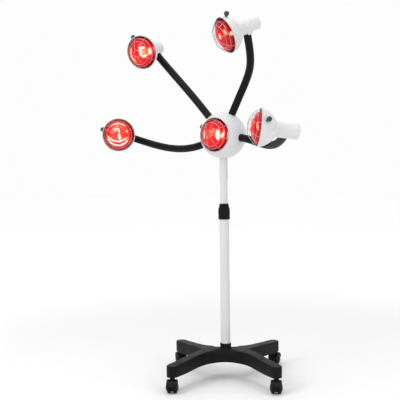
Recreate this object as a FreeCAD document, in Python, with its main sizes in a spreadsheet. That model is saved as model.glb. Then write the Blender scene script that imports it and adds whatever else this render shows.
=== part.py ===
import FreeCAD, Part
import math
import os
import Sketcher

# Infrared hair dryer on a rolling stand: four lamps on goosenecks around a ball hub
# that holds a fifth lamp.  Millimetres, +Z up, the origin on the floor under the pole.

os.makedirs("parts", exist_ok=True)
doc = FreeCAD.newDocument("infrared_dryer")
V = FreeCAD.Vector

# ---------------------------------------------------------------- driving sizes
SIZES = [
    # rolling base
    ("castor_offset", 219.0), ("leg_half_width", 24.0), ("leg_turn", 57.3), ("web_front", 40.0), ("web_side", 12.0),
    ("base_top_centre", 134.0), ("base_top_flat", 50.0), ("base_top_tip", 112.6), ("base_reach", 338.0),
    ("base_under_centre", 80.0), ("base_under_tip", 65.6), ("base_under_reach", 260.0), ("base_wall", 4.0),
    ("ballast_width", 34.0), ("ballast_thick", 10.0), ("ballast_length", 234.0), ("ballast_plate", 88.0), ("ballast_half", 28.0),
    ("wheel_radius", 25.0), ("wheel_width", 19.8), ("wheel_gap", 7.2), ("castor_trail", 14.0),
    ("wheel_axle", 3.0), ("fender_outer", 32.5), ("fender_inner", 26.8), ("fender_half", 23.0),
    ("web_half", 6.2), ("stem_radius", 5.5), ("stem_clear", 0.06),
    # pole
    ("lower_outer", 21.5), ("lower_inner", 20.0), ("lower_foot", 118.0), ("lower_top", 745.0),
    ("socket_outer", 24.5), ("socket_top", 158.5), ("upper_outer", 16.5), ("upper_inner", 15.0),
    ("upper_foot", 330.0), ("upper_head", 968.0), ("bush_length", 40.0),
    ("grip_foot", 713.0), ("grip_top", 764.0), ("grip_outer", 25.6), ("grip_flare", 26.4),
    ("collet_top", 782.5), ("collet_wide", 22.0), ("collet_narrow", 19.8),
    ("sleeve_outer", 18.4), ("sleeve_foot", 887.0), ("sleeve_head", 992.0), ("turn_clear", 0.06),
    # hub
    ("hub_height", 1083.0), ("ball_radius", 102.0), ("ball_wall", 3.5), ("ball_mouth", 67.5),
    ("ball_back", 92.0), ("cover_radius", 43.6), ("cover_thick", 2.6),
    ("rocker_radius", 10.1), ("rocker_width", 12.4),
    ("gland_bore", 4.0), ("gland_body", 6.0), ("gland_hex", 9.0), ("gland_length", 20.0),
    # goosenecks
    ("goose_radius", 16.5), ("goose_bore", 6.0), ("cup_clear", 0.35), ("cup_setback", 8.4), ("cup_rim", 14.4),
    # lamps
    ("rim_radius", 76.0), ("shade_wall", 1.6), ("neck_radius", 30.5), ("neck_end", 157.0),
    ("arm_station", 107.0), ("tip_pivot", 47.0),
    ("bulb_radius", 62.5), ("bulb_face", 33.0), ("bulb_length", 183.0), ("glass_wall", 1.1),
    ("holder_radius", 20.5), ("holder_bore", 13.8), ("cap_radius", 13.4),
    ("guard_rim", 73.2), ("guard_second", 64.0), ("guard_third", 51.0), ("guard_fourth", 15.0),
    ("guard_wire", 1.15), ("guard_rise", 44.0),
    ("knob_radius", 11.0), ("knob_station", 20.0), ("stud_radius", 2.5), ("stud_clear", 0.1),
]
sheet = doc.addObject("Spreadsheet::Sheet", "dims")
for row, (alias, number) in enumerate(SIZES, start=1):
    sheet.set("A%d" % row, alias)
    sheet.set("B%d" % row, "%g" % number)
    sheet.setAlias("B%d" % row, alias)
doc.recompute()


class Dim:
    """A size with its value and the sheet expression that gives it."""

    def __init__(self, value, text):
        self.value, self.text = value, text

    def _mix(self, other, sign, back=False):
        a, b = (as_dim(other), self) if back else (self, as_dim(other))
        value = {"+": a.value + b.value, "-": a.value - b.value, "*": a.value * b.value,
                 "/": a.value / b.value if b.value else 0.0}[sign]
        return Dim(value, "(%s %s %s)" % (a.text, sign, b.text))

    def __add__(self, o): return self._mix(o, "+")
    def __radd__(self, o): return self._mix(o, "+", True)
    def __sub__(self, o): return self._mix(o, "-")
    def __rsub__(self, o): return self._mix(o, "-", True)
    def __mul__(self, o): return self._mix(o, "*")
    def __rmul__(self, o): return self._mix(o, "*", True)
    def __truediv__(self, o): return self._mix(o, "/")
    def __neg__(self): return Dim(-self.value, "(0 - %s)" % self.text)


def as_dim(x):
    return x if isinstance(x, Dim) else Dim(float(x), "%g" % float(x))


class Sizes:
    pass


d = Sizes()
for alias, number in SIZES:
    setattr(d, alias, Dim(float(sheet.get(alias)), "dims." + alias))


def bind(obj, prop, dim):
    dim = as_dim(dim)
    setattr(obj, prop, dim.value)
    if "dims." in dim.text:
        obj.setExpression(prop, dim.text)


# ---------------------------------------------------------------- building helpers
def origin_plane(body, role):
    return [f for f in body.Origin.OriginFeatures if f.Role == role][0]


def new_sketch(body, name, role, lift=None):
    sk = body.newObject("Sketcher::SketchObject", name)
    sk.AttachmentSupport = [(origin_plane(body, role), "")]
    sk.MapMode = "FlatFace"
    if lift is not None:
        lift = as_dim(lift)
        sk.AttachmentOffset = FreeCAD.Placement(V(0, 0, lift.value), FreeCAD.Rotation())
        if "dims." in lift.text:
            sk.setExpression("AttachmentOffset.Base.z", lift.text)
    return sk


def place_vertex(sk, geo, pos, x, y):
    """Dimension one profile corner from the sketch origin."""
    for kind, axis, dim in (("DistanceX", -2, as_dim(x)), ("DistanceY", -1, as_dim(y))):
        if abs(dim.value) < 1e-9:
            sk.addConstraint(Sketcher.Constraint("PointOnObject", geo, pos, axis))
            continue
        if dim.value > 0:
            c = sk.addConstraint(Sketcher.Constraint(kind, -1, 1, geo, pos, dim.value))
        else:
            dim = -dim
            c = sk.addConstraint(Sketcher.Constraint(kind, geo, pos, -1, 1, dim.value))
        if "dims." in dim.text:
            sk.setExpression("Constraints[%d]" % c, dim.text)


def draw_profile(sk, pts, arcs=None):
    """Closed outline through pts; arcs maps an edge number to (radius, side), side +1 when the
    arc bulges to the right of its edge and -1 when it bulges to the left.  A radius of None
    puts the arc's centre on the sketch's vertical axis."""
    arcs = arcs or {}
    n = len(pts)
    p = [V(as_dim(x).value, as_dim(y).value, 0) for x, y in pts]
    geo, ends = [], []
    for i in range(n):
        a, b = p[i], p[(i + 1) % n]
        if i not in arcs:
            geo.append(Part.LineSegment(a, b))
            ends.append((1, 2))
            continue
        side = arcs[i][1]
        chord = b.sub(a)
        half = chord.Length / 2.0
        if arcs[i][0] is None:
            yc = (a.x * a.x + a.y * a.y - b.x * b.x - b.y * b.y) / (2.0 * (a.y - b.y))
            radius = math.hypot(a.x, a.y - yc)
        else:
            radius = as_dim(arcs[i][0]).value
        rise = math.sqrt(max(radius * radius - half * half, 0.0))
        right = V(chord.y, -chord.x, 0)
        right.normalize()
        c = (a + b) * 0.5 - right * (rise * side)
        if arcs[i][0] is None:
            c = V(0, yc, 0)
        a1 = math.atan2(a.y - c.y, a.x - c.x)
        a2 = math.atan2(b.y - c.y, b.x - c.x)
        if side > 0:
            lo, hi = a1, a2
            ends.append((1, 2))
        else:
            lo, hi = a2, a1
            ends.append((2, 1))
        while hi <= lo:
            hi += 2 * math.pi
        geo.append(Part.ArcOfCircle(Part.Circle(c, V(0, 0, 1), radius), lo, hi))
    base = sk.GeometryCount
    sk.addGeometry(geo, False)
    for i in range(n):
        j = (i + 1) % n
        sk.addConstraint(Sketcher.Constraint("Coincident", base + i, ends[i][1], base + j, ends[j][0]))
    for i in range(n):
        place_vertex(sk, base + i, ends[i][0], pts[i][0], pts[i][1])
    for i in arcs:
        if arcs[i][0] is None:
            sk.addConstraint(Sketcher.Constraint("PointOnObject", base + i, 3, -2))
            continue
        radius = as_dim(arcs[i][0])
        if abs(radius.value - (p[(i + 1) % n] - p[i]).Length / 2.0) < 1e-6:
            # a half circle: its centre is held midway between its ends
            mid = (as_dim(pts[i][0]) + as_dim(pts[(i + 1) % n][0])) * 0.5
            if mid.value > 0:
                c = sk.addConstraint(Sketcher.Constraint("DistanceX", -1, 1, base + i, 3, mid.value))
            else:
                mid = -mid
                c = sk.addConstraint(Sketcher.Constraint("DistanceX", base + i, 3, -1, 1, mid.value))
            sk.setExpression("Constraints[%d]" % c, mid.text)
            continue
        c = sk.addConstraint(Sketcher.Constraint("Radius", base + i, radius.value))
        if "dims." in radius.text:
            sk.setExpression("Constraints[%d]" % c, radius.text)


def draw_circle(sk, x, y, radius):
    base = sk.GeometryCount
    x, y, radius = as_dim(x), as_dim(y), as_dim(radius)
    sk.addGeometry(Part.Circle(V(x.value, y.value, 0), V(0, 0, 1), radius.value), False)
    place_vertex(sk, base, 3, x, y)
    c = sk.addConstraint(Sketcher.Constraint("Radius", base, radius.value))
    if "dims." in radius.text:
        sk.setExpression("Constraints[%d]" % c, radius.text)


def new_body(name):
    body = doc.addObject("PartDesign::Body", name)
    body.Label = name
    return body


def turned(name, pts, arcs=None):
    """A body turned about its own Z axis; pts are (radius, height)."""
    body = new_body(name)
    sk = new_sketch(body, name + "_profile", "XZ_Plane")
    draw_profile(sk, pts, arcs)
    rev = body.newObject("PartDesign::Revolution", name + "_turn")
    rev.Profile = sk
    rev.ReferenceAxis = (sk, ["V_Axis"])
    rev.Angle = 360.0
    sk.Visibility = False
    return body


def pad(body, sk, name, length, reverse=False, midplane=False):
    f = body.newObject("PartDesign::Pad", name)
    f.Profile = sk
    bind(f, "Length", length)
    f.Reversed = reverse
    f.Midplane = midplane
    return f


def pocket(body, sk, name, length, reverse=False, midplane=False):
    f = body.newObject("PartDesign::Pocket", name)
    f.Profile = sk
    bind(f, "Length", length)
    f.Reversed = reverse
    f.Midplane = midplane
    return f


def cylinder(name, radius, height, placement=None):
    o = doc.addObject("Part::Cylinder", name)
    bind(o, "Radius", radius)
    bind(o, "Height", height)
    if placement is not None:
        o.Placement = placement
    return o


def sphere(name, radius, centre):
    o = doc.addObject("Part::Sphere", name)
    bind(o, "Radius", radius)
    o.Placement = FreeCAD.Placement(centre, FreeCAD.Rotation())
    return o


def box(name, length, width, height, placement=None):
    o = doc.addObject("Part::Box", name)
    bind(o, "Length", length)
    bind(o, "Width", width)
    bind(o, "Height", height)
    if placement is not None:
        o.Placement = placement
    return o


def torus(name, ring, wire, placement=None):
    o = doc.addObject("Part::Torus", name)
    bind(o, "Radius1", ring)
    bind(o, "Radius2", wire)
    if placement is not None:
        o.Placement = placement
    return o


def cut(name, base, tools):
    for n, tool in enumerate(tools):
        o = doc.addObject("Part::Cut", name if n == len(tools) - 1 else "%s_cut%d" % (name, n))
        o.Base, o.Tool = base, tool
        base = o
    base.Label = name
    return base


def fuse(name, shapes):
    o = doc.addObject("Part::MultiFuse", name)
    o.Shapes = shapes
    o.Label = name
    return o


def group(name, solids):
    o = doc.addObject("Part::Compound", name)
    o.Links = solids
    o.Label = name
    return o


def along(point, axis, spin=None):
    """Placement that takes local Z to axis, and local X near spin when it is given."""
    z = V(*axis)
    z.normalize()
    x = V(*spin) if spin is not None else (V(1, 0, 0) if abs(z.x) < 0.9 else V(0, 1, 0))
    x = x - z * x.dot(z)
    x.normalize()
    y = z.cross(x)
    m = FreeCAD.Matrix(x.x, y.x, z.x, point[0], x.y, y.y, z.y, point[1], x.z, y.z, z.z, point[2], 0, 0, 0, 1)
    return FreeCAD.Placement(m)


nodes = {}


def keep(obj, name=None):
    obj.Label = name or obj.Label
    nodes[obj.Label] = obj
    return obj


# ---------------------------------------------------------------- rolling base
# Outline: four round-ended legs that splay to the castors.  A wide concave web joins them at
# the front and back, and a tight one at each side.
LEG_COS = math.cos(math.radians(d.leg_turn.value))
LEG_SIN = math.sin(math.radians(d.leg_turn.value))


def leg_outline(sk, gap):
    """Outline in the sketch plane, drawn in by gap from the outer face."""
    c, gap = d.castor_offset, as_dim(gap)
    half = d.leg_half_width - gap
    front_y = (d.web_front + c * (LEG_SIN - LEG_COS) - d.leg_half_width) / (1.0 - LEG_COS)
    front = front_y - d.web_front + gap
    side_x = (c * (LEG_SIN - LEG_COS) + d.leg_half_width + d.web_side) / LEG_SIN
    flank = d.web_side + gap
    # one quarter: end of the side web, the two ends of the tip, start of the front or back web
    quarter = [(side_x - flank * LEG_SIN, flank * LEG_COS), (c + half * LEG_SIN, c - half * LEG_COS),
               (c - half * LEG_SIN, c + half * LEG_COS), (front * LEG_SIN, front_y - front * LEG_COS)]
    pts, arcs = [], {}
    for q, (sx, sy) in enumerate([(1, 1), (-1, 1), (-1, -1), (1, -1)]):
        for x, y in (quarter if q % 2 == 0 else quarter[::-1]):
            pts.append((x if sx > 0 else -x, y if sy > 0 else -y))
        arcs[4 * q + 1] = (half, +1)
        arcs[4 * q + 3] = (front if q % 2 == 0 else flank, -1)
    draw_profile(sk, pts, arcs)


def base_outline_body(name, gap):
    body = new_body(name)
    sk = new_sketch(body, name + "_outline", "XY_Plane")
    leg_outline(sk, gap)
    pad(body, sk, name + "_block", 160.0)
    return body


def trim(body, name, pts):
    """Turn a profile about the pole's axis and take it away from the block."""
    sk = new_sketch(body, name + "_slope", "XZ_Plane")
    draw_profile(sk, pts)
    g = body.newObject("PartDesign::Groove", name)
    g.Profile = sk
    g.ReferenceAxis = (sk, ["V_Axis"])
    g.Angle = 360.0
    return g


def roof(drop):
    """What lies above the roof, or above the ceiling when drop is the wall."""
    top, tip = d.base_top_centre - drop, d.base_top_tip - drop
    edge = top + (tip - top) * (420.0 - d.base_top_flat) / (d.base_reach - d.base_top_flat)
    return [(0, top), (d.base_top_flat, top), (420.0, edge), (420.0, 170.0), (0, 170.0)]


outer = base_outline_body("base_outer", 0.0)
trim(outer, "base_roof", roof(0.0))
trim(outer, "base_floor", [
    (0, -5.0), (420.0, -5.0), (420.0, d.base_under_tip), (d.base_under_reach, d.base_under_tip), (0, d.base_under_centre)])
inner = base_outline_body("base_hollow", d.base_wall)
trim(inner, "base_ceiling", roof(d.base_wall))

castor_xy = [(-1, -1), (1, -1), (1, 1), (-1, 1)]
castor_names = ["front_left", "front_right", "back_right", "back_left"]


def castor_place(k, z):
    ox = d.castor_offset.value
    return FreeCAD.Placement(V(castor_xy[k][0] * ox, castor_xy[k][1] * ox, z), FreeCAD.Rotation())


boss = [cylinder("castor_boss%d" % k, 13.0, d.base_top_tip - d.base_under_tip - 0.5, castor_place(k, d.base_under_tip.value)) for k in range(4)]
hub_boss = cylinder("pole_boss", d.socket_outer + 4.0, 34.5, FreeCAD.Placement(V(0, 0, 97.5), FreeCAD.Rotation()))
stem_holes = [cylinder("stem_hole%d" % k, d.stem_radius, 46.0, castor_place(k, 60.0)) for k in range(4)]
pole_hole = cylinder("pole_hole", d.lower_outer, 60.0, FreeCAD.Placement(V(0, 0, d.lower_foot.value), FreeCAD.Rotation()))
bolt_way = cylinder("bolt_way", 6.5, 60.0, FreeCAD.Placement(V(0, 0, 80), FreeCAD.Rotation()))
hollow_shell = cut("base_skin", outer, [inner])
with_bosses = fuse("base_with_bosses", [hollow_shell] + boss + [hub_boss])
keep(cut("base_shell", with_bosses, stem_holes + [pole_hole, bolt_way]))

# iron inside the base: a plate under the pole and a bar along each leg
bars = [box("ballast_plate_blank", d.ballast_plate * 2.0, d.ballast_half * 2.0, d.ballast_thick,
            FreeCAD.Placement(V(-d.ballast_plate.value, -d.ballast_half.value, 87.5), FreeCAD.Rotation()))]
leg_foot = d.castor_offset.value * (1.0 - LEG_COS / LEG_SIN)
for k, (sx, sy) in enumerate([(1, 1), (-1, 1), (-1, -1), (1, -1)]):
    bar = box("ballast_bar%d" % k, d.ballast_length, d.ballast_width, d.ballast_thick)
    rot = FreeCAD.Rotation(V(0, 0, 1), math.degrees(math.atan2(sy * LEG_SIN, sx * LEG_COS)))
    bar.Placement = FreeCAD.Placement(
        V(sx * leg_foot, 0, 87.5) + rot.multVec(V(10.0, -d.ballast_width.value / 2, 0)), rot)
    bars.append(bar)
ballast = fuse("ballast_blank", bars)
ballast_hole = cylinder("ballast_hole", 6.5, 40.0, FreeCAD.Placement(V(0, 0, 75), FreeCAD.Rotation()))
keep(cut("base_ballast", ballast, [ballast_hole]))

# black socket ring around the foot of the pole, and the plug and bolt that hold the pole down
keep(turned("pole_socket", [
    (d.lower_outer + 0.02, d.base_top_centre + 0.2), (d.socket_outer + 2.5, d.base_top_centre + 0.2),
    (d.socket_outer + 1.2, d.base_top_centre + 2.4), (d.socket_outer, d.base_top_centre + 3.6),
    (d.socket_outer - 0.3, d.socket_top - 1.2), (d.socket_outer - 1.4, d.socket_top), (d.lower_outer + 0.02, d.socket_top)]))
keep(turned("pole_plug", [
    (6.0, d.lower_foot), (d.lower_inner - 0.02, d.lower_foot), (d.lower_inner - 0.02, d.lower_foot + 26.0), (6.0, d.lower_foot + 26.0)]))
keep(turned("base_bolt", [
    (0, 79.0), (9.5, 79.0), (9.5, 85.0), (14.0, 85.0), (14.0, 87.4), (5.98, 87.4), (5.98, 140.0), (0, 140.0)]))

# castors: fixed stems, swivelling hoods, and twin wheels on an axle
stems = []
for k in range(4):
    stem = turned("castor_stem_%d" % k, [
        (0, -10.5), (d.stem_radius - 0.5, -10.5), (d.stem_radius, -9.5), (d.stem_radius, 1.6), (9.0, 1.6), (9.0, 4.6),
        (d.stem_radius - 0.01, 4.6), (d.stem_radius - 0.01, 41.0), (d.stem_radius - 1.0, 42.5), (0, 42.5)])
    stem.Placement = castor_place(k, 61.0)
    stems.append(stem)
keep(group("castor_stems", stems))

# resting turn of each castor about its stem: the wheels trail outwards
rest_turn = {"front_left": 0.0, "front_right": -4.0, "back_right": 160.0, "back_left": -163.0}
for k, corner in enumerate(castor_names):
    pre = "castor_" + corner
    z0 = d.wheel_radius
    # local frame: stem on the Z axis, wheels trailing towards -Y
    web = new_body(pre + "_web")
    sk = new_sketch(web, pre + "_web_outline", "YZ_Plane")
    draw_profile(sk, [
        (-d.castor_trail - 9.0, z0 - 11.0), (-d.castor_trail + 15.0, z0 - 13.0), (9.0, z0 + 3.0), (9.0, 61.0 - 0.6), (-9.0, 61.0 - 0.6),
        (-d.castor_trail - 12.0, z0 + 24.0), (-d.castor_trail - 19.0, z0 + 10.0)])
    pad(web, sk, pre + "_web_pad", d.web_half * 2.0, midplane=True)
    boss_top = cylinder(pre + "_boss", 10.0, 11.4, FreeCAD.Placement(V(0, 0, 49.0), FreeCAD.Rotation()))
    fender_axis = FreeCAD.Placement(V(-d.fender_half.value, -d.castor_trail.value, z0.value), FreeCAD.Rotation(V(0, 1, 0), 90))
    hood_out = cylinder(pre + "_hood_out", d.fender_outer, d.fender_half * 2.0, fender_axis)
    hood_in = cylinder(pre + "_hood_in", d.fender_inner, d.fender_half * 2.0 + 4.0,
                       FreeCAD.Placement(V(-d.fender_half.value - 2, -d.castor_trail.value, z0.value), FreeCAD.Rotation(V(0, 1, 0), 90)))
    ring = cut(pre + "_ring", hood_out, [hood_in])
    above = box(pre + "_above", 80.0, 80.0, 40.0,
                FreeCAD.Placement(V(-40, -d.castor_trail.value - 24.5, z0.value + 6.0), FreeCAD.Rotation()))
    fender = doc.addObject("Part::Common", pre + "_fender")
    fender.Base, fender.Tool = ring, above
    blank = fuse(pre + "_blank", [web, boss_top, fender])
    bore = cylinder(pre + "_stem_bore", d.stem_radius + d.stem_clear, 30.0, FreeCAD.Placement(V(0, 0, 50.3), FreeCAD.Rotation()))
    axle_bore = cylinder(pre + "_axle_bore", d.wheel_axle + 0.05, 60.0,
                         FreeCAD.Placement(V(-30, -d.castor_trail.value, z0.value), FreeCAD.Rotation(V(0, 1, 0), 90)))
    hood = cut(pre + "_hood", blank, [bore, axle_bore])
    place = castor_place(k, 0.0)
    place.Rotation = FreeCAD.Rotation(V(0, 0, 1), rest_turn[corner])
    hood.Placement = place
    keep(hood)
    # each wheel is turned about its axle: domed outer face, barrel tread, hollow hub side
    solids = []
    for side in (-1, 1):
        wheel = turned("%s_wheel%s" % (pre, "a" if side < 0 else "b"), [
            (d.wheel_axle, d.wheel_gap), (d.wheel_radius - 1.6, d.wheel_gap), (d.wheel_radius, d.wheel_gap + 2.2),
            (d.wheel_radius - 0.6, d.wheel_gap + 11.0), (d.wheel_radius - 4.5, d.wheel_gap + 15.5),
            (9.0, d.wheel_gap + d.wheel_width), (0, d.wheel_gap + d.wheel_width), (0, d.wheel_gap + 10.0), (d.wheel_axle, d.wheel_gap + 10.0)])
        wheel.Placement = FreeCAD.Placement(V(0, 0, 0), FreeCAD.Rotation(V(0, 1, 0), 90.0 * side))
        solids.append(wheel)
    axle = cylinder(pre + "_axle", d.wheel_axle - 0.01, d.wheel_gap * 2.0 + 19.8,
                    FreeCAD.Placement(V(-d.wheel_gap.value - 9.9, 0, 0), FreeCAD.Rotation(V(0, 1, 0), 90)))
    solids.append(axle)
    wheels = group(pre + "_wheels", solids)
    turn = FreeCAD.Rotation(V(0, 0, 1), rest_turn[corner])
    wheels.Placement = FreeCAD.Placement(
        castor_place(k, 0.0).Base + turn.multVec(V(0, -d.castor_trail.value, z0.value)), turn)
    keep(wheels)

# ---------------------------------------------------------------- telescopic pole
keep(turned("lower_pole", [
    (d.lower_inner, d.lower_foot), (d.lower_outer - 0.02, d.lower_foot), (d.lower_outer - 0.02, d.lower_top), (d.lower_inner, d.lower_top)]))
keep(turned("upper_pole", [
    (d.upper_inner, d.upper_foot), (d.upper_outer, d.upper_foot), (d.upper_outer, d.upper_head), (d.upper_inner, d.upper_head)]))
keep(turned("pole_bush", [
    (d.upper_outer + 0.02, d.upper_foot), (d.lower_inner - 0.1, d.upper_foot), (d.lower_inner - 0.1, d.upper_foot + d.bush_length),
    (d.upper_outer + 0.02, d.upper_foot + d.bush_length)]))

collet = turned("collet_blank", [
    (d.upper_outer + 0.1, d.lower_top - 32.0), (d.lower_inner - 0.02, d.lower_top - 32.0), (d.lower_inner - 0.02, d.lower_top + 0.02),
    (d.lower_outer, d.lower_top + 0.02), (d.lower_outer, d.grip_top + 0.15), (d.collet_wide, d.grip_top + 0.6),
    (d.collet_wide - 0.2, d.grip_top + 4.0), (d.collet_narrow, d.collet_top), (d.upper_outer + 0.1, d.collet_top)])
slots = [box("collet_slot%d" % k, 60.0, 1.6, 26.0,
             FreeCAD.Placement(FreeCAD.Rotation(V(0, 0, 1), 45 + 90 * k).multVec(V(-30, -0.8, 0)) + V(0, 0, 760), FreeCAD.Rotation(V(0, 0, 1), 45 + 90 * k)))
         for k in range(2)]
keep(cut("clamp_collet", collet, slots))

# knurled twist grip: a ring with shallow flutes round it
grip = turned("grip_blank", [
    (d.lower_outer + 0.25, d.grip_foot), (d.grip_flare - 0.8, d.grip_foot), (d.grip_flare, d.grip_foot + 1.0), (d.grip_outer, d.grip_foot + 14.0),
    (d.grip_outer, d.grip_top - 2.0), (d.grip_outer - 1.6, d.grip_top), (d.lower_outer + 0.25, d.grip_top)])
flutes = []
for k in range(12):
    a = math.radians(30.0 * k + 15.0)
    flutes.append(cylinder("grip_flute%d" % k, 2.2, 34.0,
                           FreeCAD.Placement(V((d.grip_outer.value + 1.2) * math.cos(a), (d.grip_outer.value + 1.2) * math.sin(a), d.grip_foot.value + 12.0), FreeCAD.Rotation())))
keep(cut("clamp_grip", grip, flutes))

keep(turned("head_sleeve", [
    (d.upper_outer + d.turn_clear, d.sleeve_foot), (d.sleeve_outer - 0.6, d.sleeve_foot), (d.sleeve_outer, d.sleeve_foot + 0.8),
    (d.sleeve_outer, d.sleeve_head), (5.0, d.sleeve_head), (5.0, d.sleeve_head - 4.0), (d.upper_outer + d.turn_clear, d.sleeve_head - 4.0)]))

# ---------------------------------------------------------------- hub
hub = V(0, 0, d.hub_height.value)
face = V(-0.53191, -0.84586, 0.03999)      # the way the hub lamp looks
face.normalize()
side = V(0.84653, -0.53234, 0.0)           # to the right of it, level
side.normalize()
rise = face.cross(side)                    # up the hub's face
hub_place = along(hub, face, side)


def on_hub(x, y, z):
    """A point given in the hub lamp's own axes (side, rise, face)."""
    return hub + side * x + rise * y + face * z


# arm geometry, each from the hub centre: the root direction on the ball, the rim centre,
# the lamp's axis, the way the gooseneck enters the neck, and the curve's two handles
ARMS = {
    "left": dict(root=(-0.8057, 0.491, -0.3314), rim=(-489.8, 151.7, 11.8), axis=(-0.011, -1.0, -0.023), enter=(-0.9491, 0.0032, 0.3148),
                 start=(-82.2, 50.1, -33.8), one=(-205.4, 125.1, -84.5), two=(-322.4, 258.3, -40.9), end=(-460.1, 258.8, 4.8)),
    "upper_left": dict(root=(-0.5555, 0.3842, 0.7374), rim=(-368.6, 98.7, 381.4), axis=(-0.392, -0.891, -0.229), enter=(-0.6029, 0.0608, 0.7955),
                       start=(-56.7, 39.2, 75.2), one=(-152.9, 105.7, 202.9), two=(-257.5, 183.8, 312.0), end=(-310.0, 189.1, 381.2)),
    "top": dict(root=(0.3922, -0.2042, 0.8969), rim=(23.0, -279.1, 396.8), axis=(-0.818, -0.42, -0.394), enter=(-0.1544, -0.4991, 0.8527),
                start=(40.0, -20.8, 91.5), one=(123.9, -64.5, 283.3), two=(137.1, -134.7, 262.1), end=(110.2, -221.8, 411.0)),
    "right": dict(root=(0.7752, -0.6202, -0.12), rim=(154.4, -432.8, 22.2), axis=(-0.984, -0.126, 0.128), enter=(0.166, -0.9095, 0.3811),
                  start=(79.1, -63.3, -12.2), one=(156.7, -125.4, -24.3), two=(217.9, -190.5, -87.4), end=(254.7, -392.0, -3.0)),
}

# how far each guard's wires are turned round the lamp's axis, in degrees
GUARD_TURN = {"left": 38.4, "upper_left": 25.8, "top": 23.9, "right": 35.4, "hub": 30.0}

ball_solid = sphere("ball_solid", d.ball_radius, V(0, 0, 0))
ball_void = sphere("ball_void", d.ball_radius - d.ball_wall, V(0, 0, 0))
ball_skin = cut("ball_skin", ball_solid, [ball_void])
mouth = box("ball_mouth_cut", 260.0, 260.0, 60.0, FreeCAD.Placement(V(-130, -130, 0), FreeCAD.Rotation()))
mouth.Placement = FreeCAD.Placement(hub_place.Rotation.multVec(V(-130, -130, d.ball_mouth.value)), hub_place.Rotation)
rear = box("ball_rear_cut", 260.0, 260.0, 60.0)
rear.Placement = FreeCAD.Placement(hub_place.Rotation.multVec(V(-130, -130, -60.0 - d.ball_back.value)), hub_place.Rotation)
ball_tools = [mouth, rear]
for name, arm in ARMS.items():
    n = V(*arm["root"])
    n.normalize()
    ball_tools.append(cylinder("root_hole_" + name, d.cup_rim + 0.1, 40.0, along(n * 80.0, n)))
ball_tools.append(cylinder("sleeve_hole", d.sleeve_outer + 0.02, 40.0, FreeCAD.Placement(V(0, 0, -120), FreeCAD.Rotation())))
knob_axis = V(-0.823, 0.45, 0.347)         # the hub's knob, on the far side of the ball
knob_axis.normalize()
ball_tools.append(cylinder("hub_knob_hole", d.stud_radius + d.stud_clear, 30.0, along(knob_axis * 85.0, knob_axis)))
screw_spots = [(39.6 * math.cos(math.radians(a)), 39.6 * math.sin(math.radians(a))) for a in (90.0, 210.0, 330.0)]
for k, (x, y) in enumerate(screw_spots):
    ball_tools.append(cylinder("ball_screw_hole%d" % k, 1.6, 14.0,
                               FreeCAD.Placement(hub_place.Rotation.multVec(V(x, y, -d.ball_back.value - 4.0)), hub_place.Rotation)))
hub_ball = cut("hub_ball", ball_skin, ball_tools)
hub_ball.Placement = FreeCAD.Placement(hub, FreeCAD.Rotation())
keep(hub_ball)

# cups that the goosenecks' root balls turn in, pressed into the hub's holes
cups = []
for name, arm in ARMS.items():
    n = V(*arm["root"])
    n.normalize()
    body = turned("root_cup_" + name, [
        (d.goose_bore, 86.0), (19.0, 86.0), (19.0, 93.5), (d.cup_rim, 93.5), (d.cup_rim, d.ball_radius), (d.goose_bore, d.ball_radius)])
    body.Placement = along((0, 0, 0), n)
    seat = sphere("root_seat_" + name, d.goose_radius + d.cup_clear, n * (d.ball_radius.value + d.cup_setback.value))
    cup = cut("root_cup_cut_" + name, body, [seat])
    cups.append(cup)
cup_group = group("gooseneck_cups", cups)
cup_group.Placement = FreeCAD.Placement(hub, FreeCAD.Rotation())
keep(cup_group)

reflector = turned("hub_reflector", [
    (72.4, d.ball_mouth - 1.2), (71.6, d.ball_mouth - 1.2), (66.5, 40.0), (56.0, 18.0), (42.0, -2.0), (30.0, -18.0), (24.0, -28.0),
    (24.8, -28.4), (30.8, -18.6), (42.8, -2.6), (56.8, 17.4), (67.4, 39.8)])
reflector.Placement = hub_place
keep(reflector)

# rear cover with its switch opening and cable gland hole, held by three screws
cover_blank = turned("cover_blank", [
    (0, -d.ball_back - 0.05), (d.cover_radius, -d.ball_back - 0.05), (d.cover_radius - 1.2, -d.ball_back - d.cover_thick), (0, -d.ball_back - d.cover_thick - 1.2)])
holder_post = cylinder("holder_post", 11.0, 7.48, FreeCAD.Placement(V(0, 0, -d.ball_back.value - 0.5), FreeCAD.Rotation()))
bezel = box("switch_bezel", 17.0, 25.0, 3.6, FreeCAD.Placement(V(-8.5, 22.0 - 12.5, -d.ball_back.value - 4.9), FreeCAD.Rotation()))
cover_all = fuse("cover_all", [cover_blank, holder_post, bezel])
switch_hole = box("switch_hole", d.rocker_width + 0.8, (d.rocker_radius + 0.35) * 2.0, 30.0,
                  FreeCAD.Placement(V(-(d.rocker_width.value + 0.8) / 2, 22.0 - d.rocker_radius.value - 0.35, -d.ball_back.value - 15.0), FreeCAD.Rotation()))
gland_hole = cylinder("gland_hole", d.gland_body + 0.02, 20.0, FreeCAD.Placement(V(0, -26.0, -d.ball_back.value - 10.0), FreeCAD.Rotation()))
screw_holes = [cylinder("cover_screw_hole%d" % k, 1.6, 20.0, FreeCAD.Placement(V(x, y, -d.ball_back.value - 10.0), FreeCAD.Rotation()))
               for k, (x, y) in enumerate(screw_spots)]
cover = cut("rear_cover", cover_all, [switch_hole, gland_hole] + screw_holes)
cover.Placement = hub_place
keep(cover)

screws = []
for k, (x, y) in enumerate(screw_spots):
    screw = turned("cover_screw_%d" % k, [
        (0, -4.8), (1.8, -4.8), (2.9, -3.8), (2.9, -2.9), (1.58, -2.9), (1.58, 2.6), (0, 2.6)])
    screw.Placement = FreeCAD.Placement(V(x, y, -d.ball_back.value), FreeCAD.Rotation())
    screws.append(screw)
screw_group = group("cover_screws", screws)
screw_group.Placement = hub_place
keep(screw_group)

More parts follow.
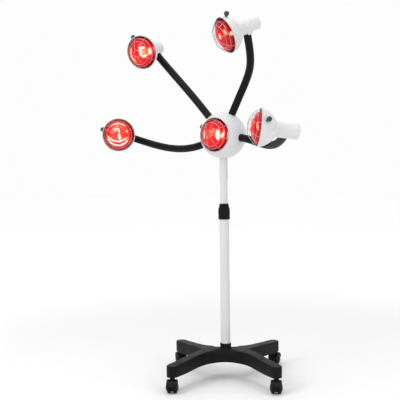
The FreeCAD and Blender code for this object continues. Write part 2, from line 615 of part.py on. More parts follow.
# rocker: a drum sector that turns about the switch's level pin
drum = cylinder("rocker_drum", d.rocker_radius, d.rocker_width, FreeCAD.Placement(V(-d.rocker_width.value / 2, 0, 0), FreeCAD.Rotation(V(0, 1, 0), 90)))
slab = box("rocker_slab", 30.0, 30.0, 8.4, FreeCAD.Placement(FreeCAD.Rotation(V(1, 0, 0), 8.0).multVec(V(-15, -15, -4.6)), FreeCAD.Rotation(V(1, 0, 0), 8.0)))
rocker = doc.addObject("Part::Common", "rocker_switch")
rocker.Base, rocker.Tool = drum, slab
rocker.Placement = FreeCAD.Placement(on_hub(0, 22.0, -d.ball_back.value - 3.0), hub_place.Rotation)
keep(rocker, "rocker_switch")

gland = turned("gland_blank", [
    (d.gland_bore, 3.0), (d.gland_body, 3.0), (d.gland_body, -4.0), (d.gland_hex, -4.0), (d.gland_hex, -8.0),
    (d.gland_body + 1.4, -8.6), (d.gland_body + 0.6, 3.0 - d.gland_length), (d.gland_bore, 3.0 - d.gland_length)])
flats = []
for k in range(6):
    r = FreeCAD.Rotation(V(0, 0, 1), 60.0 * k)
    flats.append(box("gland_flat%d" % k, 4.0, 20.0, 4.2, FreeCAD.Placement(r.multVec(V(d.gland_hex.value * 0.9, -10.0, 0)) + V(0, 0, -8.1), r)))
gland_cut = cut("cable_gland", gland, flats)
gland_cut.Placement = FreeCAD.Placement(on_hub(0, -26.0, -d.ball_back.value), hub_place.Rotation)
keep(gland_cut)

terminal = new_body("terminal_block")
sk = new_sketch(terminal, "terminal_outline", "XY_Plane")
draw_profile(sk, [(-18.0, -7.0), (18.0, -7.0), (18.0, 7.0), (-18.0, 7.0)])
pad(terminal, sk, "terminal_pad", 15.0)
sk = new_sketch(terminal, "terminal_ways", "XY_Plane", 15.0)
for x in (-12.0, -4.0, 4.0, 12.0):
    draw_circle(sk, x, 3.0, 2.2)
    draw_circle(sk, x, -3.0, 2.2)
pocket(terminal, sk, "terminal_holes", 9.0)
terminal.Placement = FreeCAD.Placement(on_hub(0, -27.6, -84.0), hub_place.Rotation)
keep(terminal)


# ---------------------------------------------------------------- lamps
def make_bulb(name, place):
    """Hollow reflector bulb: domed face, cone, and screw cap."""
    w, face_z, rb = d.glass_wall, d.bulb_face, d.bulb_radius
    end = d.bulb_face - d.bulb_length
    body = turned(name, [
        (0, face_z), (rb - 3.0, 9.0), (rb, 0), (rb - 2.5, -12.0), (35.0, -52.0), (22.0, -76.0), (d.cap_radius, -104.0),
        (d.cap_radius, end + 7.0), (6.0, end), (0, end),
        (0, end + 4.0), (5.0, end + 4.0), (d.cap_radius - w, end + 9.0), (d.cap_radius - w, -103.0),
        (22.0 - w, -75.6), (35.0 - w, -51.4), (rb - 2.5 - w, -11.4), (rb - w, 0), (rb - 3.0 - w, 8.2), (0, face_z - w)],
        {0: (None, -1), 1: (12.0, -1), 17: (10.9, +1), 18: (None, +1)})
    body.Placement = place
    keep(body)


def make_holder(name, place, length=53.0):
    """Heat-proof screw lampholder, open at the front."""
    body = turned(name, [
        (0, -d.neck_end + 2.2), (d.holder_radius, -d.neck_end + 2.2), (d.holder_radius, -d.neck_end + 20.0), (d.holder_radius - 1.5, -d.neck_end + 22.0),
        (d.holder_radius - 1.5, -d.neck_end + length), (d.holder_bore, -d.neck_end + length), (d.holder_bore, -d.neck_end + 6.4), (0, -d.neck_end + 6.4)])
    body.Placement = place
    keep(body)


def dome_z(radius):
    """Height of the guard's dome over the rim plane at a given radius."""
    r0, hgt = d.guard_rim.value, d.guard_rise.value
    big = (r0 * r0 + hgt * hgt) / (2 * hgt)
    return hgt - big + math.sqrt(big * big - radius * radius)


def make_guard(name, place, turn):
    """Domed wire guard: rings in short runs, and eight wires that follow the dome."""
    wire = d.guard_wire
    solids = []
    for k, (ring, runs) in enumerate(((d.guard_rim, 24), (d.guard_second, 24), (d.guard_third, 16))):
        z = dome_z(ring.value) + 1.2
        for m in range(runs):
            run = torus("%s_ring%d_%d" % (name, k, m), ring, wire,
                        FreeCAD.Placement(V(0, 0, z), FreeCAD.Rotation(V(0, 0, 1), turn + 360.0 / runs * m)))
            run.Angle3 = 360.0 / runs
            solids.append(run)
    solids.append(torus(name + "_ring3", d.guard_fourth, wire, FreeCAD.Placement(V(0, 0, dome_z(d.guard_fourth.value) + 1.2), FreeCAD.Rotation())))
    r0, hgt = d.guard_rim.value, d.guard_rise.value
    big = (r0 * r0 + hgt * hgt) / (2 * hgt)
    centre = V(0, 0, hgt - big + 1.2)
    a0 = math.atan2(-centre.z + 1.2, r0)
    a1 = math.acos(d.guard_fourth.value / big)
    for k in range(8):
        for half in range(2):
            pts = []
            for t in (0.0, 0.5, 1.0):
                a = a0 + (a1 - a0) * (half + t) / 2.0
                pts.append(V(centre.x + big * math.cos(a), centre.y, centre.z + big * math.sin(a)))
            edge = Part.Arc(pts[0], pts[1], pts[2]).toShape()
            circle = Part.Wire([Part.makeCircle(wire.value * 0.92, pts[0], edge.tangentAt(edge.FirstParameter))])
            spoke = doc.addObject("Part::Feature", "%s_wire%d_%d" % (name, k, half))
            spoke.Shape = Part.Wire([edge]).makePipeShell([circle], True, False)
            spoke.Placement = FreeCAD.Placement(V(0, 0, 0), FreeCAD.Rotation(V(0, 0, 1), turn + 45.0 * k))
            solids.append(spoke)
    g = group(name, solids)
    g.Placement = place
    keep(g)


def make_knob(name, foot, axis, wall):
    """Ball knob on a threaded stud; foot is on the outer skin, axis points outwards."""
    stud = turned(name + "_stud", [
        (0, -wall - 7.0), (d.stud_radius, -wall - 7.0), (d.stud_radius, 0.6), (5.2, 0.6), (5.2, 4.6), (0, 4.6)])
    ball = sphere(name + "_ball", d.knob_radius, V(0, 0, 2.4 + d.knob_radius.value))
    body = fuse(name, [stud, ball])
    body.Placement = along(foot, axis)
    keep(body)


for name, arm in ARMS.items():
    axis = V(*arm["axis"])
    axis.normalize()
    enter = V(*arm["enter"])
    enter = enter - axis * enter.dot(axis)
    enter.normalize()
    rim = hub + V(*arm["rim"])
    place = along(rim, axis, -enter)          # local X points from the neck to the gooseneck
    w = d.shade_wall
    shade_body = turned("shade_turn_" + name, [
        (d.rim_radius, 0), (d.rim_radius + 0.6, -1.0), (d.rim_radius, -2.0), (62.0, -36.5), (d.neck_radius + 4.0, -60.5), (d.neck_radius, -70.0),
        (d.neck_radius, -d.neck_end + 5.0), (d.neck_radius - 5.0, -d.neck_end), (0, -d.neck_end),
        (0, -d.neck_end + 2.2), (d.neck_radius - 5.0, -d.neck_end + 2.2), (d.neck_radius - w, -d.neck_end + 5.5),
        (d.neck_radius - w, -70.4), (d.neck_radius + 2.4, -61.0), (62.0 - 1.3, -35.6), (d.rim_radius - w, -2.0), (d.rim_radius - w, 0)],
        {2: (78.0, -1), 3: (62.0, -1), 4: (14.0, +1), 6: (5.0, -1), 10: (3.6, +1), 12: (14.0, -1), 13: (61.0, +1), 14: (77.0, +1)})
    arm_boss = cylinder("arm_boss_" + name, d.cup_rim, 14.0,
                        FreeCAD.Placement(V(d.tip_pivot.value - d.cup_setback.value - 14.0, 0, -d.arm_station.value), FreeCAD.Rotation(V(0, 1, 0), 90)))
    neck_void = cylinder("neck_void_" + name, d.neck_radius - w, 60.0, FreeCAD.Placement(V(0, 0, -d.arm_station.value - 30.0), FreeCAD.Rotation()))
    boss_end = cut("arm_boss_end_" + name, arm_boss, [neck_void])
    seat = sphere("tip_seat_" + name, d.goose_radius + d.cup_clear, V(d.tip_pivot.value, 0, -d.arm_station.value))
    wire_way = cylinder("wire_way_" + name, d.goose_bore, 30.0,
                        FreeCAD.Placement(V(15, 0, -d.arm_station.value), FreeCAD.Rotation(V(0, 1, 0), 90)))
    # the knob's stud hole, square to the bell's skin on the side away from the gooseneck
    skin = 70.9
    lean = math.radians(20.0)
    foot_local = V(-skin, 0, -d.knob_station.value)
    out_local = V(-math.cos(lean), 0, -math.sin(lean))
    stud_hole = cylinder("stud_hole_" + name, d.stud_radius + d.stud_clear, 16.0, along(foot_local - out_local * 9.0, out_local))
    shade_all = fuse("shade_all_" + name, [shade_body, boss_end])
    shade = cut("shade_" + name, shade_all, [seat, wire_way, stud_hole])
    shade.Placement = place
    keep(shade)
    make_bulb("bulb_" + name, place)
    make_holder("lampholder_" + name, place)
    make_guard("guard_" + name, place, GUARD_TURN[name])
    make_knob("knob_" + name, place.multVec(foot_local), place.Rotation.multVec(out_local), 1.6)

hub_rim = along(on_hub(0, 0, d.ball_mouth.value), face, side)
make_bulb("bulb_hub", hub_rim)
holder = turned("lampholder_hub", [
    (0, -85.0), (d.holder_radius, -85.0), (d.holder_radius, -68.0), (d.holder_radius - 1.5, -66.0), (d.holder_radius - 1.5, -38.0),
    (d.holder_bore, -38.0), (d.holder_bore, -82.9), (0, -82.9)])
holder.Placement = hub_place
keep(holder)
make_guard("guard_hub", hub_rim, GUARD_TURN["hub"])
make_knob("knob_hub", hub + knob_axis * d.ball_radius.value, knob_axis, 3.5)


# ---------------------------------------------------------------- goosenecks
def smooth_path(points):
    """Straight runs joined by tangent arcs through the given points."""
    edges, radii = [], []
    last = points[0]
    for i in range(1, len(points) - 1):
        a, b, c = points[i - 1], points[i], points[i + 1]
        u, w = b - a, c - b
        lu, lw = u.Length, w.Length
        u.normalize()
        w.normalize()
        turn = u.getAngle(w)
        if turn < 1e-4:
            continue
        radius = 0.45 * min(lu, lw) / math.tan(turn / 2.0)
        t = radius * math.tan(turn / 2.0)
        p, q = b - u * t, b + w * t
        bis = w - u
        bis.normalize()
        m = b + bis * (radius / math.cos(turn / 2.0) - radius)
        edges.append(Part.LineSegment(last, p).toShape())
        edges.append(Part.Arc(p, m, q).toShape())
        radii.append(radius)
        last = q
    edges.append(Part.LineSegment(last, points[-1]).toShape())
    return Part.Wire(edges), radii


def tube(points, outer_r, inner_r):
    wire, radii = smooth_path(points)
    start = points[0]
    tangent = (points[1] - points[0])
    solids = []
    for r in (outer_r, inner_r):
        ring = Part.Wire([Part.makeCircle(r, start, tangent)])
        solids.append(wire.makePipeShell([ring], True, False))
    out = solids[0].cut(solids[1])
    expect = wire.Length * math.pi * (outer_r ** 2 - inner_r ** 2)
    print("gooseneck run %.1f mm, volume %.0f against %.0f, radii %s" % (wire.Length, out.Volume, expect, ["%.0f" % r for r in radii]))
    return out, solids[1]


def bezier(p0, p1, p2, p3, t):
    return p0 * ((1 - t) ** 3) + p1 * (3 * t * (1 - t) ** 2) + p2 * (3 * t * t * (1 - t)) + p3 * (t ** 3)


print("PIVOTS")
for name, arm in ARMS.items():
    n = V(*arm["root"])
    n.normalize()
    axis = V(*arm["axis"])
    axis.normalize()
    enter = V(*arm["enter"])
    enter = enter - axis * enter.dot(axis)
    enter.normalize()
    rim = hub + V(*arm["rim"])
    neck = rim - axis * d.arm_station.value
    root = hub + n * (d.ball_radius.value + d.cup_setback.value)
    tip = neck - enter * d.tip_pivot.value
    p = [hub + V(*arm[k]) for k in ("start", "one", "two", "end")]
    # even stations along the curve
    fine = [bezier(p[0], p[1], p[2], p[3], i / 400.0) for i in range(401)]
    fine = [q for q in fine if (q - hub).Length > d.ball_radius.value + d.cup_setback.value + 52.0 and (q - neck).Length > d.tip_pivot.value + 52.0]
    run = [0.0]
    for i in range(1, len(fine)):
        run.append(run[-1] + (fine[i] - fine[i - 1]).Length)

    def station(s):
        for i in range(1, len(fine)):
            if run[i] >= s:
                k = (s - run[i - 1]) / (run[i] - run[i - 1])
                return fine[i - 1] * (1 - k) + fine[i] * k
        return fine[-1]
    total = run[-1]
    inner_pts = [root, root + n * 26.0] + [station(total * k) for k in (0.0, 0.25)] + [station(total * 0.5)]
    outer_pts = [station(total * 0.5)] + [station(total * k) for k in (0.75, 1.0)] + [tip - enter * 26.0, tip]
    mid = inner_pts[-1]
    rg, rb, rc = d.goose_radius.value, d.goose_bore.value, d.cup_clear.value
    # inner half: a ball at the hub end and a ball at the middle
    body, bore = tube(inner_pts, rg, rb)
    t_in = inner_pts[1] - inner_pts[0]
    t_in.normalize()
    t_mid = inner_pts[-1] - inner_pts[-2]
    t_mid.normalize()
    shape = body.fuse(Part.makeSphere(rg, root)).fuse(Part.makeSphere(rg, mid))
    for point, way in ((root, -t_in), (mid, t_mid)):
        shape = shape.cut(Part.makeCylinder(rb, rg + 2.0, point, way))
    shape = shape.cut(bore)
    o = doc.addObject("Part::Feature", "gooseneck_inner_" + name)
    o.Shape = shape.removeSplitter()
    keep(o, "gooseneck_inner_" + name)
    # outer half: a cup round the middle ball and a ball at the lamp end
    t_out = outer_pts[1] - outer_pts[0]
    t_out.normalize()
    first = mid + t_out * d.cup_setback.value
    body, bore = tube([first] + outer_pts[1:], rg, rb)
    t_end = outer_pts[-1] - outer_pts[-2]
    t_end.normalize()
    shape = body.fuse(Part.makeSphere(rg, tip)).cut(Part.makeSphere(rg + rc, mid))
    shape = shape.cut(Part.makeCylinder(rb, rg + 2.0, tip, t_end)).cut(bore)
    o = doc.addObject("Part::Feature", "gooseneck_outer_" + name)
    o.Shape = shape.removeSplitter()
    keep(o, "gooseneck_outer_" + name)
    print(name, "root", [round(x, 2) for x in root], "mid", [round(x, 2) for x in mid], "tip", [round(x, 2) for x in tip],
          "t_mid", [round(x, 4) for x in t_mid], "t_end", [round(x, 4) for x in t_end], "axis", [round(x, 4) for x in axis],
          "enter", [round(x, 4) for x in enter], "rim", [round(x, 2) for x in rim], "length", round(total + 40, 1))

# ---------------------------------------------------------------- checks and export
doc.recompute()
bad = [o.Name for o in doc.Objects if "Invalid" in o.State or "Error" in o.State]
if bad:
    raise SystemExit("failed objects: " + ", ".join(bad))
for name, obj in nodes.items():
    s = obj.Shape
    if s.isNull() or not s.isValid() or not s.Solids:
        raise SystemExit("bad shape: " + name)
for old in os.listdir("parts"):
    if old.endswith(".step") and old[:-5] not in nodes:
        os.remove(os.path.join("parts", old))
for name, obj in nodes.items():
    obj.Shape.exportStep("parts/%s.step" % name)
print(len(nodes), "nodes")
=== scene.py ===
import math

import bmesh
import bpy
from mathutils import Matrix, Vector
from mathutils.geometry import delaunay_2d_cdt


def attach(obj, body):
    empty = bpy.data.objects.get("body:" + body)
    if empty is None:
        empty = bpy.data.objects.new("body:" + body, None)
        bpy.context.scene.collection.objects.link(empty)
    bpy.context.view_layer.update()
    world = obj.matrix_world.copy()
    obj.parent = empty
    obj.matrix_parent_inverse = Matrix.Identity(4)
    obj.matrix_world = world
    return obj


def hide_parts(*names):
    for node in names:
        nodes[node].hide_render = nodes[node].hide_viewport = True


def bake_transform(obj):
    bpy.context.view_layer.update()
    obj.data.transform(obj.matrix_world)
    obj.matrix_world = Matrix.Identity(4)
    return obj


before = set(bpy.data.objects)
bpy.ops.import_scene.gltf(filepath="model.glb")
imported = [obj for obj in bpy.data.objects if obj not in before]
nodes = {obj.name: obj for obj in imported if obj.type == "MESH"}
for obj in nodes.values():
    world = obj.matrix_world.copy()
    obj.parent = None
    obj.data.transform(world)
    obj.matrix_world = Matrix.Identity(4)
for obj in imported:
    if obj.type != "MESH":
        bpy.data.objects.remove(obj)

scene = bpy.context.scene
MM = 0.001
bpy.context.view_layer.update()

for old in ("Cube", "Light", "Camera"):
    if old in bpy.data.objects and bpy.data.objects[old].name not in nodes:
        bpy.data.objects.remove(bpy.data.objects[old])


# ------------------------------------------------------------------ node helpers
class Num:
    """A number inside a node tree, so that a pattern can be written as a formula."""

    def __init__(self, tree, out):
        self.tree, self.out = tree, out

    def op(self, kind, *others, clamp=False):
        n = self.tree.nodes.new("ShaderNodeMath")
        n.operation = kind
        n.use_clamp = clamp
        for socket, value in zip(n.inputs, (self,) + others):
            if isinstance(value, Num):
                self.tree.links.new(value.out, socket)
            else:
                socket.default_value = value
        return Num(self.tree, n.outputs[0])

    def __add__(self, o): return self.op("ADD", o)
    def __sub__(self, o): return self.op("SUBTRACT", o)
    def __mul__(self, o): return self.op("MULTIPLY", o)
    def __truediv__(self, o): return self.op("DIVIDE", o)
    def max(self, o): return self.op("MAXIMUM", o)
    def min(self, o): return self.op("MINIMUM", o)
    def abs(self): return self.op("ABSOLUTE")
    def root(self): return self.op("SQRT")
    def power(self, p): return self.op("POWER", p)

    def ease(self, a, b, to_a=0.0, to_b=1.0):
        n = self.tree.nodes.new("ShaderNodeMapRange")
        n.interpolation_type = "SMOOTHSTEP"
        self.tree.links.new(self.out, n.inputs["Value"])
        n.inputs["From Min"].default_value = a
        n.inputs["From Max"].default_value = b
        n.inputs["To Min"].default_value = to_a
        n.inputs["To Max"].default_value = to_b
        return Num(self.tree, n.outputs["Result"])


def new_material(name):
    mat = bpy.data.materials.new(name)
    mat.use_nodes = True
    tree = mat.node_tree
    for n in list(tree.nodes):
        tree.nodes.remove(n)
    out = tree.nodes.new("ShaderNodeOutputMaterial")
    bsdf = tree.nodes.new("ShaderNodeBsdfPrincipled")
    tree.links.new(bsdf.outputs["BSDF"], out.inputs["Surface"])
    return mat, tree, bsdf


def coords(tree, kind="Object", scale=(1, 1, 1)):
    tc = tree.nodes.new("ShaderNodeTexCoord")
    mp = tree.nodes.new("ShaderNodeMapping")
    mp.inputs["Scale"].default_value = scale
    tree.links.new(tc.outputs[kind], mp.inputs["Vector"])
    return mp.outputs["Vector"]


def noise(tree, vector, scale, detail=3.0, rough=0.55, distortion=0.0):
    n = tree.nodes.new("ShaderNodeTexNoise")
    n.inputs["Scale"].default_value = scale
    n.inputs["Detail"].default_value = detail
    n.inputs["Roughness"].default_value = rough
    n.inputs["Distortion"].default_value = distortion
    tree.links.new(vector, n.inputs["Vector"])
    return Num(tree, n.outputs["Fac"])


def ramp(tree, fac, stops):
    r = tree.nodes.new("ShaderNodeValToRGB")
    while len(r.color_ramp.elements) < len(stops):
        r.color_ramp.elements.new(0.5)
    for e, (pos, col) in zip(r.color_ramp.elements, stops):
        e.position = pos
        e.color = (*col, 1.0)
    tree.links.new(fac.out, r.inputs["Fac"])
    return r.outputs["Color"]


def bump(tree, bsdf, height, strength, distance):
    b = tree.nodes.new("ShaderNodeBump")
    b.inputs["Strength"].default_value = strength
    b.inputs["Distance"].default_value = distance
    tree.links.new(height.out, b.inputs["Height"])
    tree.links.new(b.outputs["Normal"], bsdf.inputs["Normal"])


def surface(name, dark, light, rough, metal=0.0, cloud=9.0, grain=900.0, depth=0.00006, strength=0.35,
            coat=0.0, coat_rough=0.08, level=0.5, kind="Object", stretch=(1, 1, 1)):
    """Cloudy colour between two shades, roughness that varies with it, and a fine grain."""
    mat, tree, b = new_material(name)
    v = coords(tree, kind, stretch)
    broad = noise(tree, v, cloud, 4.0, 0.6)
    fine = noise(tree, v, grain, 2.0, 0.5)
    tree.links.new(ramp(tree, broad * 0.8 + fine * 0.2, [(0.35, dark), (0.65, light)]), b.inputs["Base Color"])
    tree.links.new(broad.ease(0.3, 0.7, rough[0], rough[1]).out, b.inputs["Roughness"])
    b.inputs["Metallic"].default_value = metal
    b.inputs["Specular IOR Level"].default_value = level
    b.inputs["Coat Weight"].default_value = coat
    b.inputs["Coat Roughness"].default_value = coat_rough
    bump(tree, b, fine, strength, depth)
    return mat


# ------------------------------------------------------------------ materials
white = surface("white_powder_coat", (0.675, 0.675, 0.685), (0.715, 0.715, 0.72), (0.32, 0.42), cloud=14.0, grain=1100.0,
                depth=0.00002, strength=0.1, level=0.35)
base_black = surface("moulded_base", (0.0062, 0.0062, 0.0065), (0.0095, 0.0095, 0.0098), (0.46, 0.60), cloud=22.0, grain=1500.0,
                     depth=0.00012, strength=0.55, level=0.12)
castor_black = surface("castor_nylon", (0.0045, 0.0045, 0.0047), (0.0080, 0.0080, 0.0083), (0.30, 0.42), cloud=60.0, grain=1700.0,
                       depth=0.00007, strength=0.4, level=0.18)
tread_black = surface("castor_tread", (0.0055, 0.0055, 0.0055), (0.0095, 0.0095, 0.009), (0.52, 0.68), cloud=80.0, grain=2200.0,
                      depth=0.0001, strength=0.5, level=0.12)
clamp_black = surface("clamp_nylon", (0.0045, 0.0045, 0.0047), (0.0078, 0.0078, 0.008), (0.32, 0.44), cloud=50.0, grain=1600.0,
                      depth=0.00007, strength=0.4, level=0.12)
arm_black = surface("gooseneck_sheath", (0.0030, 0.0031, 0.0042), (0.0052, 0.0053, 0.0070), (0.36, 0.46), cloud=5.0, grain=260.0,
                    depth=0.00005, strength=0.25, kind="UV", stretch=(1, 1, 1), level=0.13)
knob_black = surface("knob_phenolic", (0.008, 0.008, 0.008), (0.014, 0.014, 0.0145), (0.07, 0.14), cloud=70.0, grain=900.0,
                     depth=0.00002, strength=0.2, coat=0.5, coat_rough=0.05)
steel = surface("zinc_steel", (0.48, 0.48, 0.49), (0.62, 0.62, 0.63), (0.26, 0.42), metal=1.0, cloud=90.0, grain=1400.0,
                depth=0.00003, strength=0.3)
iron = surface("dark_iron", (0.035, 0.034, 0.033), (0.07, 0.066, 0.062), (0.6, 0.8), metal=0.3, cloud=30.0, grain=900.0,
               depth=0.0003, strength=0.6)
wire_steel = surface("guard_wire", (0.36, 0.36, 0.37), (0.48, 0.48, 0.49), (0.24, 0.36), metal=1.0, cloud=120.0, grain=1500.0,
                     depth=0.00002, strength=0.2)
lip_steel = surface("rim_lip", (0.50, 0.50, 0.52), (0.66, 0.66, 0.68), (0.22, 0.34), metal=1.0, cloud=60.0, grain=1300.0,
                    depth=0.00002, strength=0.2)
grey_plastic = surface("grey_moulding", (0.30, 0.30, 0.305), (0.37, 0.37, 0.375), (0.42, 0.55), cloud=40.0, grain=1500.0,
                       depth=0.00007, strength=0.4)
ceramic = surface("glazed_ceramic", (0.70, 0.68, 0.63), (0.80, 0.785, 0.74), (0.16, 0.30), cloud=60.0, grain=900.0,
                  depth=0.00003, strength=0.2, coat=0.3)
brass = surface("lamp_cap_metal", (0.55, 0.52, 0.45), (0.70, 0.66, 0.58), (0.28, 0.42), metal=1.0, cloud=90.0, grain=1200.0,
                depth=0.00003, strength=0.3)


def lamp_coords(tree, matrix):
    """Object coordinates seen from a lamp's own axes."""
    inverse = matrix.inverted()
    tc = tree.nodes.new("ShaderNodeTexCoord")
    mp = tree.nodes.new("ShaderNodeMapping")
    mp.vector_type = "POINT"
    mp.inputs["Location"].default_value = inverse.to_translation()
    mp.inputs["Rotation"].default_value = inverse.to_euler("XYZ")
    tree.links.new(tc.outputs["Object"], mp.inputs["Vector"])
    return mp.outputs["Vector"]


def reflector_material(name, matrix):
    """Spun metal with fine turning marks, with painted light in its colour: a painted red glow of the bulb, painted
    shade darker deep inside, greyer at the rim.
    """
    mat, tree, b = new_material("spun_reflector_" + name)
    sep = tree.nodes.new("ShaderNodeSeparateXYZ")
    tree.links.new(lamp_coords(tree, matrix), sep.inputs[0])
    x, y, z = (Num(tree, sep.outputs[i]) for i in range(3))
    angle = y.op("ARCTAN2", x)
    radius = (x * x + y * y).root()
    ray = tree.nodes.new("ShaderNodeCombineXYZ")
    tree.links.new((angle * 3.0).out, ray.inputs[0])
    tree.links.new((radius * 18.0).out, ray.inputs[1])
    streak = noise(tree, ray.outputs[0], 9.0, 3.0, 0.6)
    marks = (radius * 5200.0).op("SINE") * 0.5
    # painted light: the colour runs from dark maroon deep inside (painted shade) to greyish mauve at the rim (painted
    # reflection of the bulb's red glow and the surroundings)
    depth = z.ease(-0.036, -0.001)
    tree.links.new(ramp(tree, depth + (streak - 0.5) * 0.55, [
        (0.0, (0.20, 0.03, 0.034)), (0.45, (0.32, 0.085, 0.095)), (0.8, (0.46, 0.21, 0.225)), (1.0, (0.56, 0.37, 0.39))]),
        b.inputs["Base Color"])
    tree.links.new(streak.ease(0.3, 0.7, 0.26, 0.42).out, b.inputs["Roughness"])
    b.inputs["Metallic"].default_value = 0.85
    bump(tree, b, marks, 0.15, 0.00004)
    return mat



def glow_material(name, matrix, heat0, blobs, arcs, spread=0.1):
    """Red glass of a lit heat lamp: the filament's glow over a red field, with painted reflections and painted
    highlights among its shapes.
    Distances are millimetres on the lamp's face. A blob is (x, y, half length, half width, turn, heat);
    an arc is (x, y, radius, half width, middle angle, half angle, heat)."""
    mat, tree, b = new_material(name)
    local = lamp_coords(tree, matrix)
    sep = tree.nodes.new("ShaderNodeSeparateXYZ")
    tree.links.new(local, sep.inputs[0])
    x, y, z = (Num(tree, sep.outputs[i]) * 1000.0 for i in range(3))
    wobble = noise(tree, local, 55.0, 3.0, 0.6)
    flecks = noise(tree, local, 210.0, 2.0, 0.6)
    x = x + (wobble - 0.5) * 7.0
    y = y + (wobble - 0.5) * -6.0
    r = (x * x + y * y).root()
    heat = r.ease(30.0, 62.0, heat0, heat0 - 0.14) + (wobble - 0.5) * spread + (flecks - 0.5) * 0.05
    # blobs and arcs add the filament's glow together with painted reflections of the filament and painted highlights on
    # the glass
    for cx, cy, a, w, turn, hot in blobs:
        c, s = math.cos(math.radians(turn)), math.sin(math.radians(turn))
        dx, dy = x - cx, y - cy
        along = (dx * c + dy * s) / a
        across = (dy * c - dx * s) / w
        q = (along * along + across * across).root()
        heat = heat + q.ease(0.35, 1.15, hot, 0.0)
    for cx, cy, rad, w, mid, half, hot in arcs:
        dx, dy = x - cx, y - cy
        q = (dx * dx + dy * dy).root()
        c, s = math.cos(math.radians(mid)), math.sin(math.radians(mid))
        toward = (dx * c + dy * s) / q.max(0.01)
        ends = toward.ease(math.cos(math.radians(half)), math.cos(math.radians(half * 0.45)))
        band = (q - rad).abs() / (ends * w).max(0.05)
        heat = heat + band.ease(0.35, 1.15, hot, 0.0) * ends
    colour = ramp(tree, heat, [
        (0.0, (0.045, 0.0, 0.001)), (0.22, (0.20, 0.001, 0.003)), (0.42, (0.62, 0.004, 0.006)), (0.58, (0.90, 0.012, 0.010)),
        (0.74, (1.0, 0.16, 0.07)), (0.87, (1.0, 0.62, 0.33)), (1.0, (1.0, 0.97, 0.86))])
    tree.links.new(colour, b.inputs["Emission Color"])
    b.inputs["Emission Strength"].default_value = 1.0
    tree.links.new(ramp(tree, flecks, [(0.3, (0.10, 0.002, 0.003)), (0.7, (0.15, 0.004, 0.005))]), b.inputs["Base Color"])
    tree.links.new(wobble.ease(0.3, 0.7, 0.09, 0.2).out, b.inputs["Roughness"])
    b.inputs["Specular IOR Level"].default_value = 0.22
    b.inputs["Coat Weight"].default_value = 0.06
    b.inputs["Coat Roughness"].default_value = 0.06
    return mat


# for each lamp: the red field's level, then blobs and arcs that are partly the filament's glow and partly painted
# reflections and painted highlights
GLOW_AND_PAINTED_REFLECTIONS = {
    "left": (0.62, [(11, -4, 18, 9, -64, 0.60), (36, 30, 11, 4, -53, 0.42), (-8, 16, 5, 4, 0, 0.34), (-14, 40, 9, 4, 20, 0.24)],
             [(-8, 16, 11, 5, 90, 175, 0.38), (0, 1, 50, 5.5, -76, 98, 0.58), (-8, 25, 56, 5, -76, 68, 0.54),
              (0, 1, 51, 4.5, 108, 58, 0.46), (2, 6, 33, 6, 110, 110, 0.13)]),
    "upper_left": (0.53, [(3, 14, 24, 9, -32, 0.60), (-5, 33, 17, 7, 48, 0.40), (28, 13, 14, 9, 60, 0.52), (27, 47, 22, 10, -29, 0.40), (14, 28, 28, 20, 20, 0.26), (33, 32, 12, 6, 80, 0.20)],
                   [(0, 0, 43.5, 6, -112, 68, 0.46), (0, 0, 54, 6, 62, 50, 0.14)]),
    "top": (0.39, [(-10, 12, 17, 8, 28, 0.64), (-30, 38, 20, 8, 45, 0.50), (-23, 57.5, 13, 5, 22, 0.66), (-22, 26, 22, 18, 40, 0.12), (8, -12, 30, 12, -62, 0.20)],
            [(0, 0, 50, 7, 30, 44, 0.22), (0, 0, 52, 5, -50, 55, 0.20)]),
    "right": (0.46, [(-50, 18, 24, 6, 80, 0.56), (-30, 2, 20, 7, 80, 0.14), (2, -6, 26, 18, -20, 0.38)], [(0, 0, 50, 5, -45, 60, 0.16)]),
    "hub": (0.53, [(-36, 0, 26, 6, 90, 0.52), (34, -2, 29, 12, 92, 0.66), (52, -5, 19, 8, 70, 0.46), (44, 4, 22, 18, 80, 0.12), (-20, -2, 24, 9, 90, 0.14), (5, 6, 28, 20, 60, 0.20)],
            [(0, 0, 58, 4, 2, 40, 0.24)]),
}


# ------------------------------------------------------------------ mesh helpers
def place(origin, z, x=None):
    """Matrix with local Z along z and local X near x."""
    z = Vector(z).normalized()
    x = Vector(x) if x is not None else (Vector((0, 0, 1)) if abs(z.z) < 0.9 else Vector((1, 0, 0)))
    x = (x - z * x.dot(z)).normalized()
    m = Matrix((x, z.cross(x), z)).transposed().to_4x4()
    m.translation = Vector(origin)
    return m


def outline(points, arcs=None, count=8):
    """Points in order; arcs maps an edge to (radius, side), side 1 bulging right of travel and -1 left."""
    arcs = arcs or {}
    out = [tuple(points[0])]
    for i in range(len(points) - 1):
        (ax, ay), (bx, by) = points[i], points[i + 1]
        if i in arcs:
            radius, side = arcs[i][0], arcs[i][1]
            n = arcs[i][2] if len(arcs[i]) > 2 else count
            dx, dy = bx - ax, by - ay
            length = math.hypot(dx, dy)
            nx, ny = dy / length * side, -dx / length * side
            apo = math.sqrt(max(radius * radius - length * length / 4.0, 0.0))
            cx, cy = (ax + bx) / 2 - nx * apo, (ay + by) / 2 - ny * apo
            a0, a1 = math.atan2(ay - cy, ax - cx), math.atan2(by - cy, bx - cx)
            turn = (a1 - a0 + math.pi) % (2 * math.pi) - math.pi
            for k in range(1, n):
                a = a0 + turn * k / n
                out.append((cx + radius * math.cos(a), cy + radius * math.sin(a)))
        out.append((bx, by))
    return out


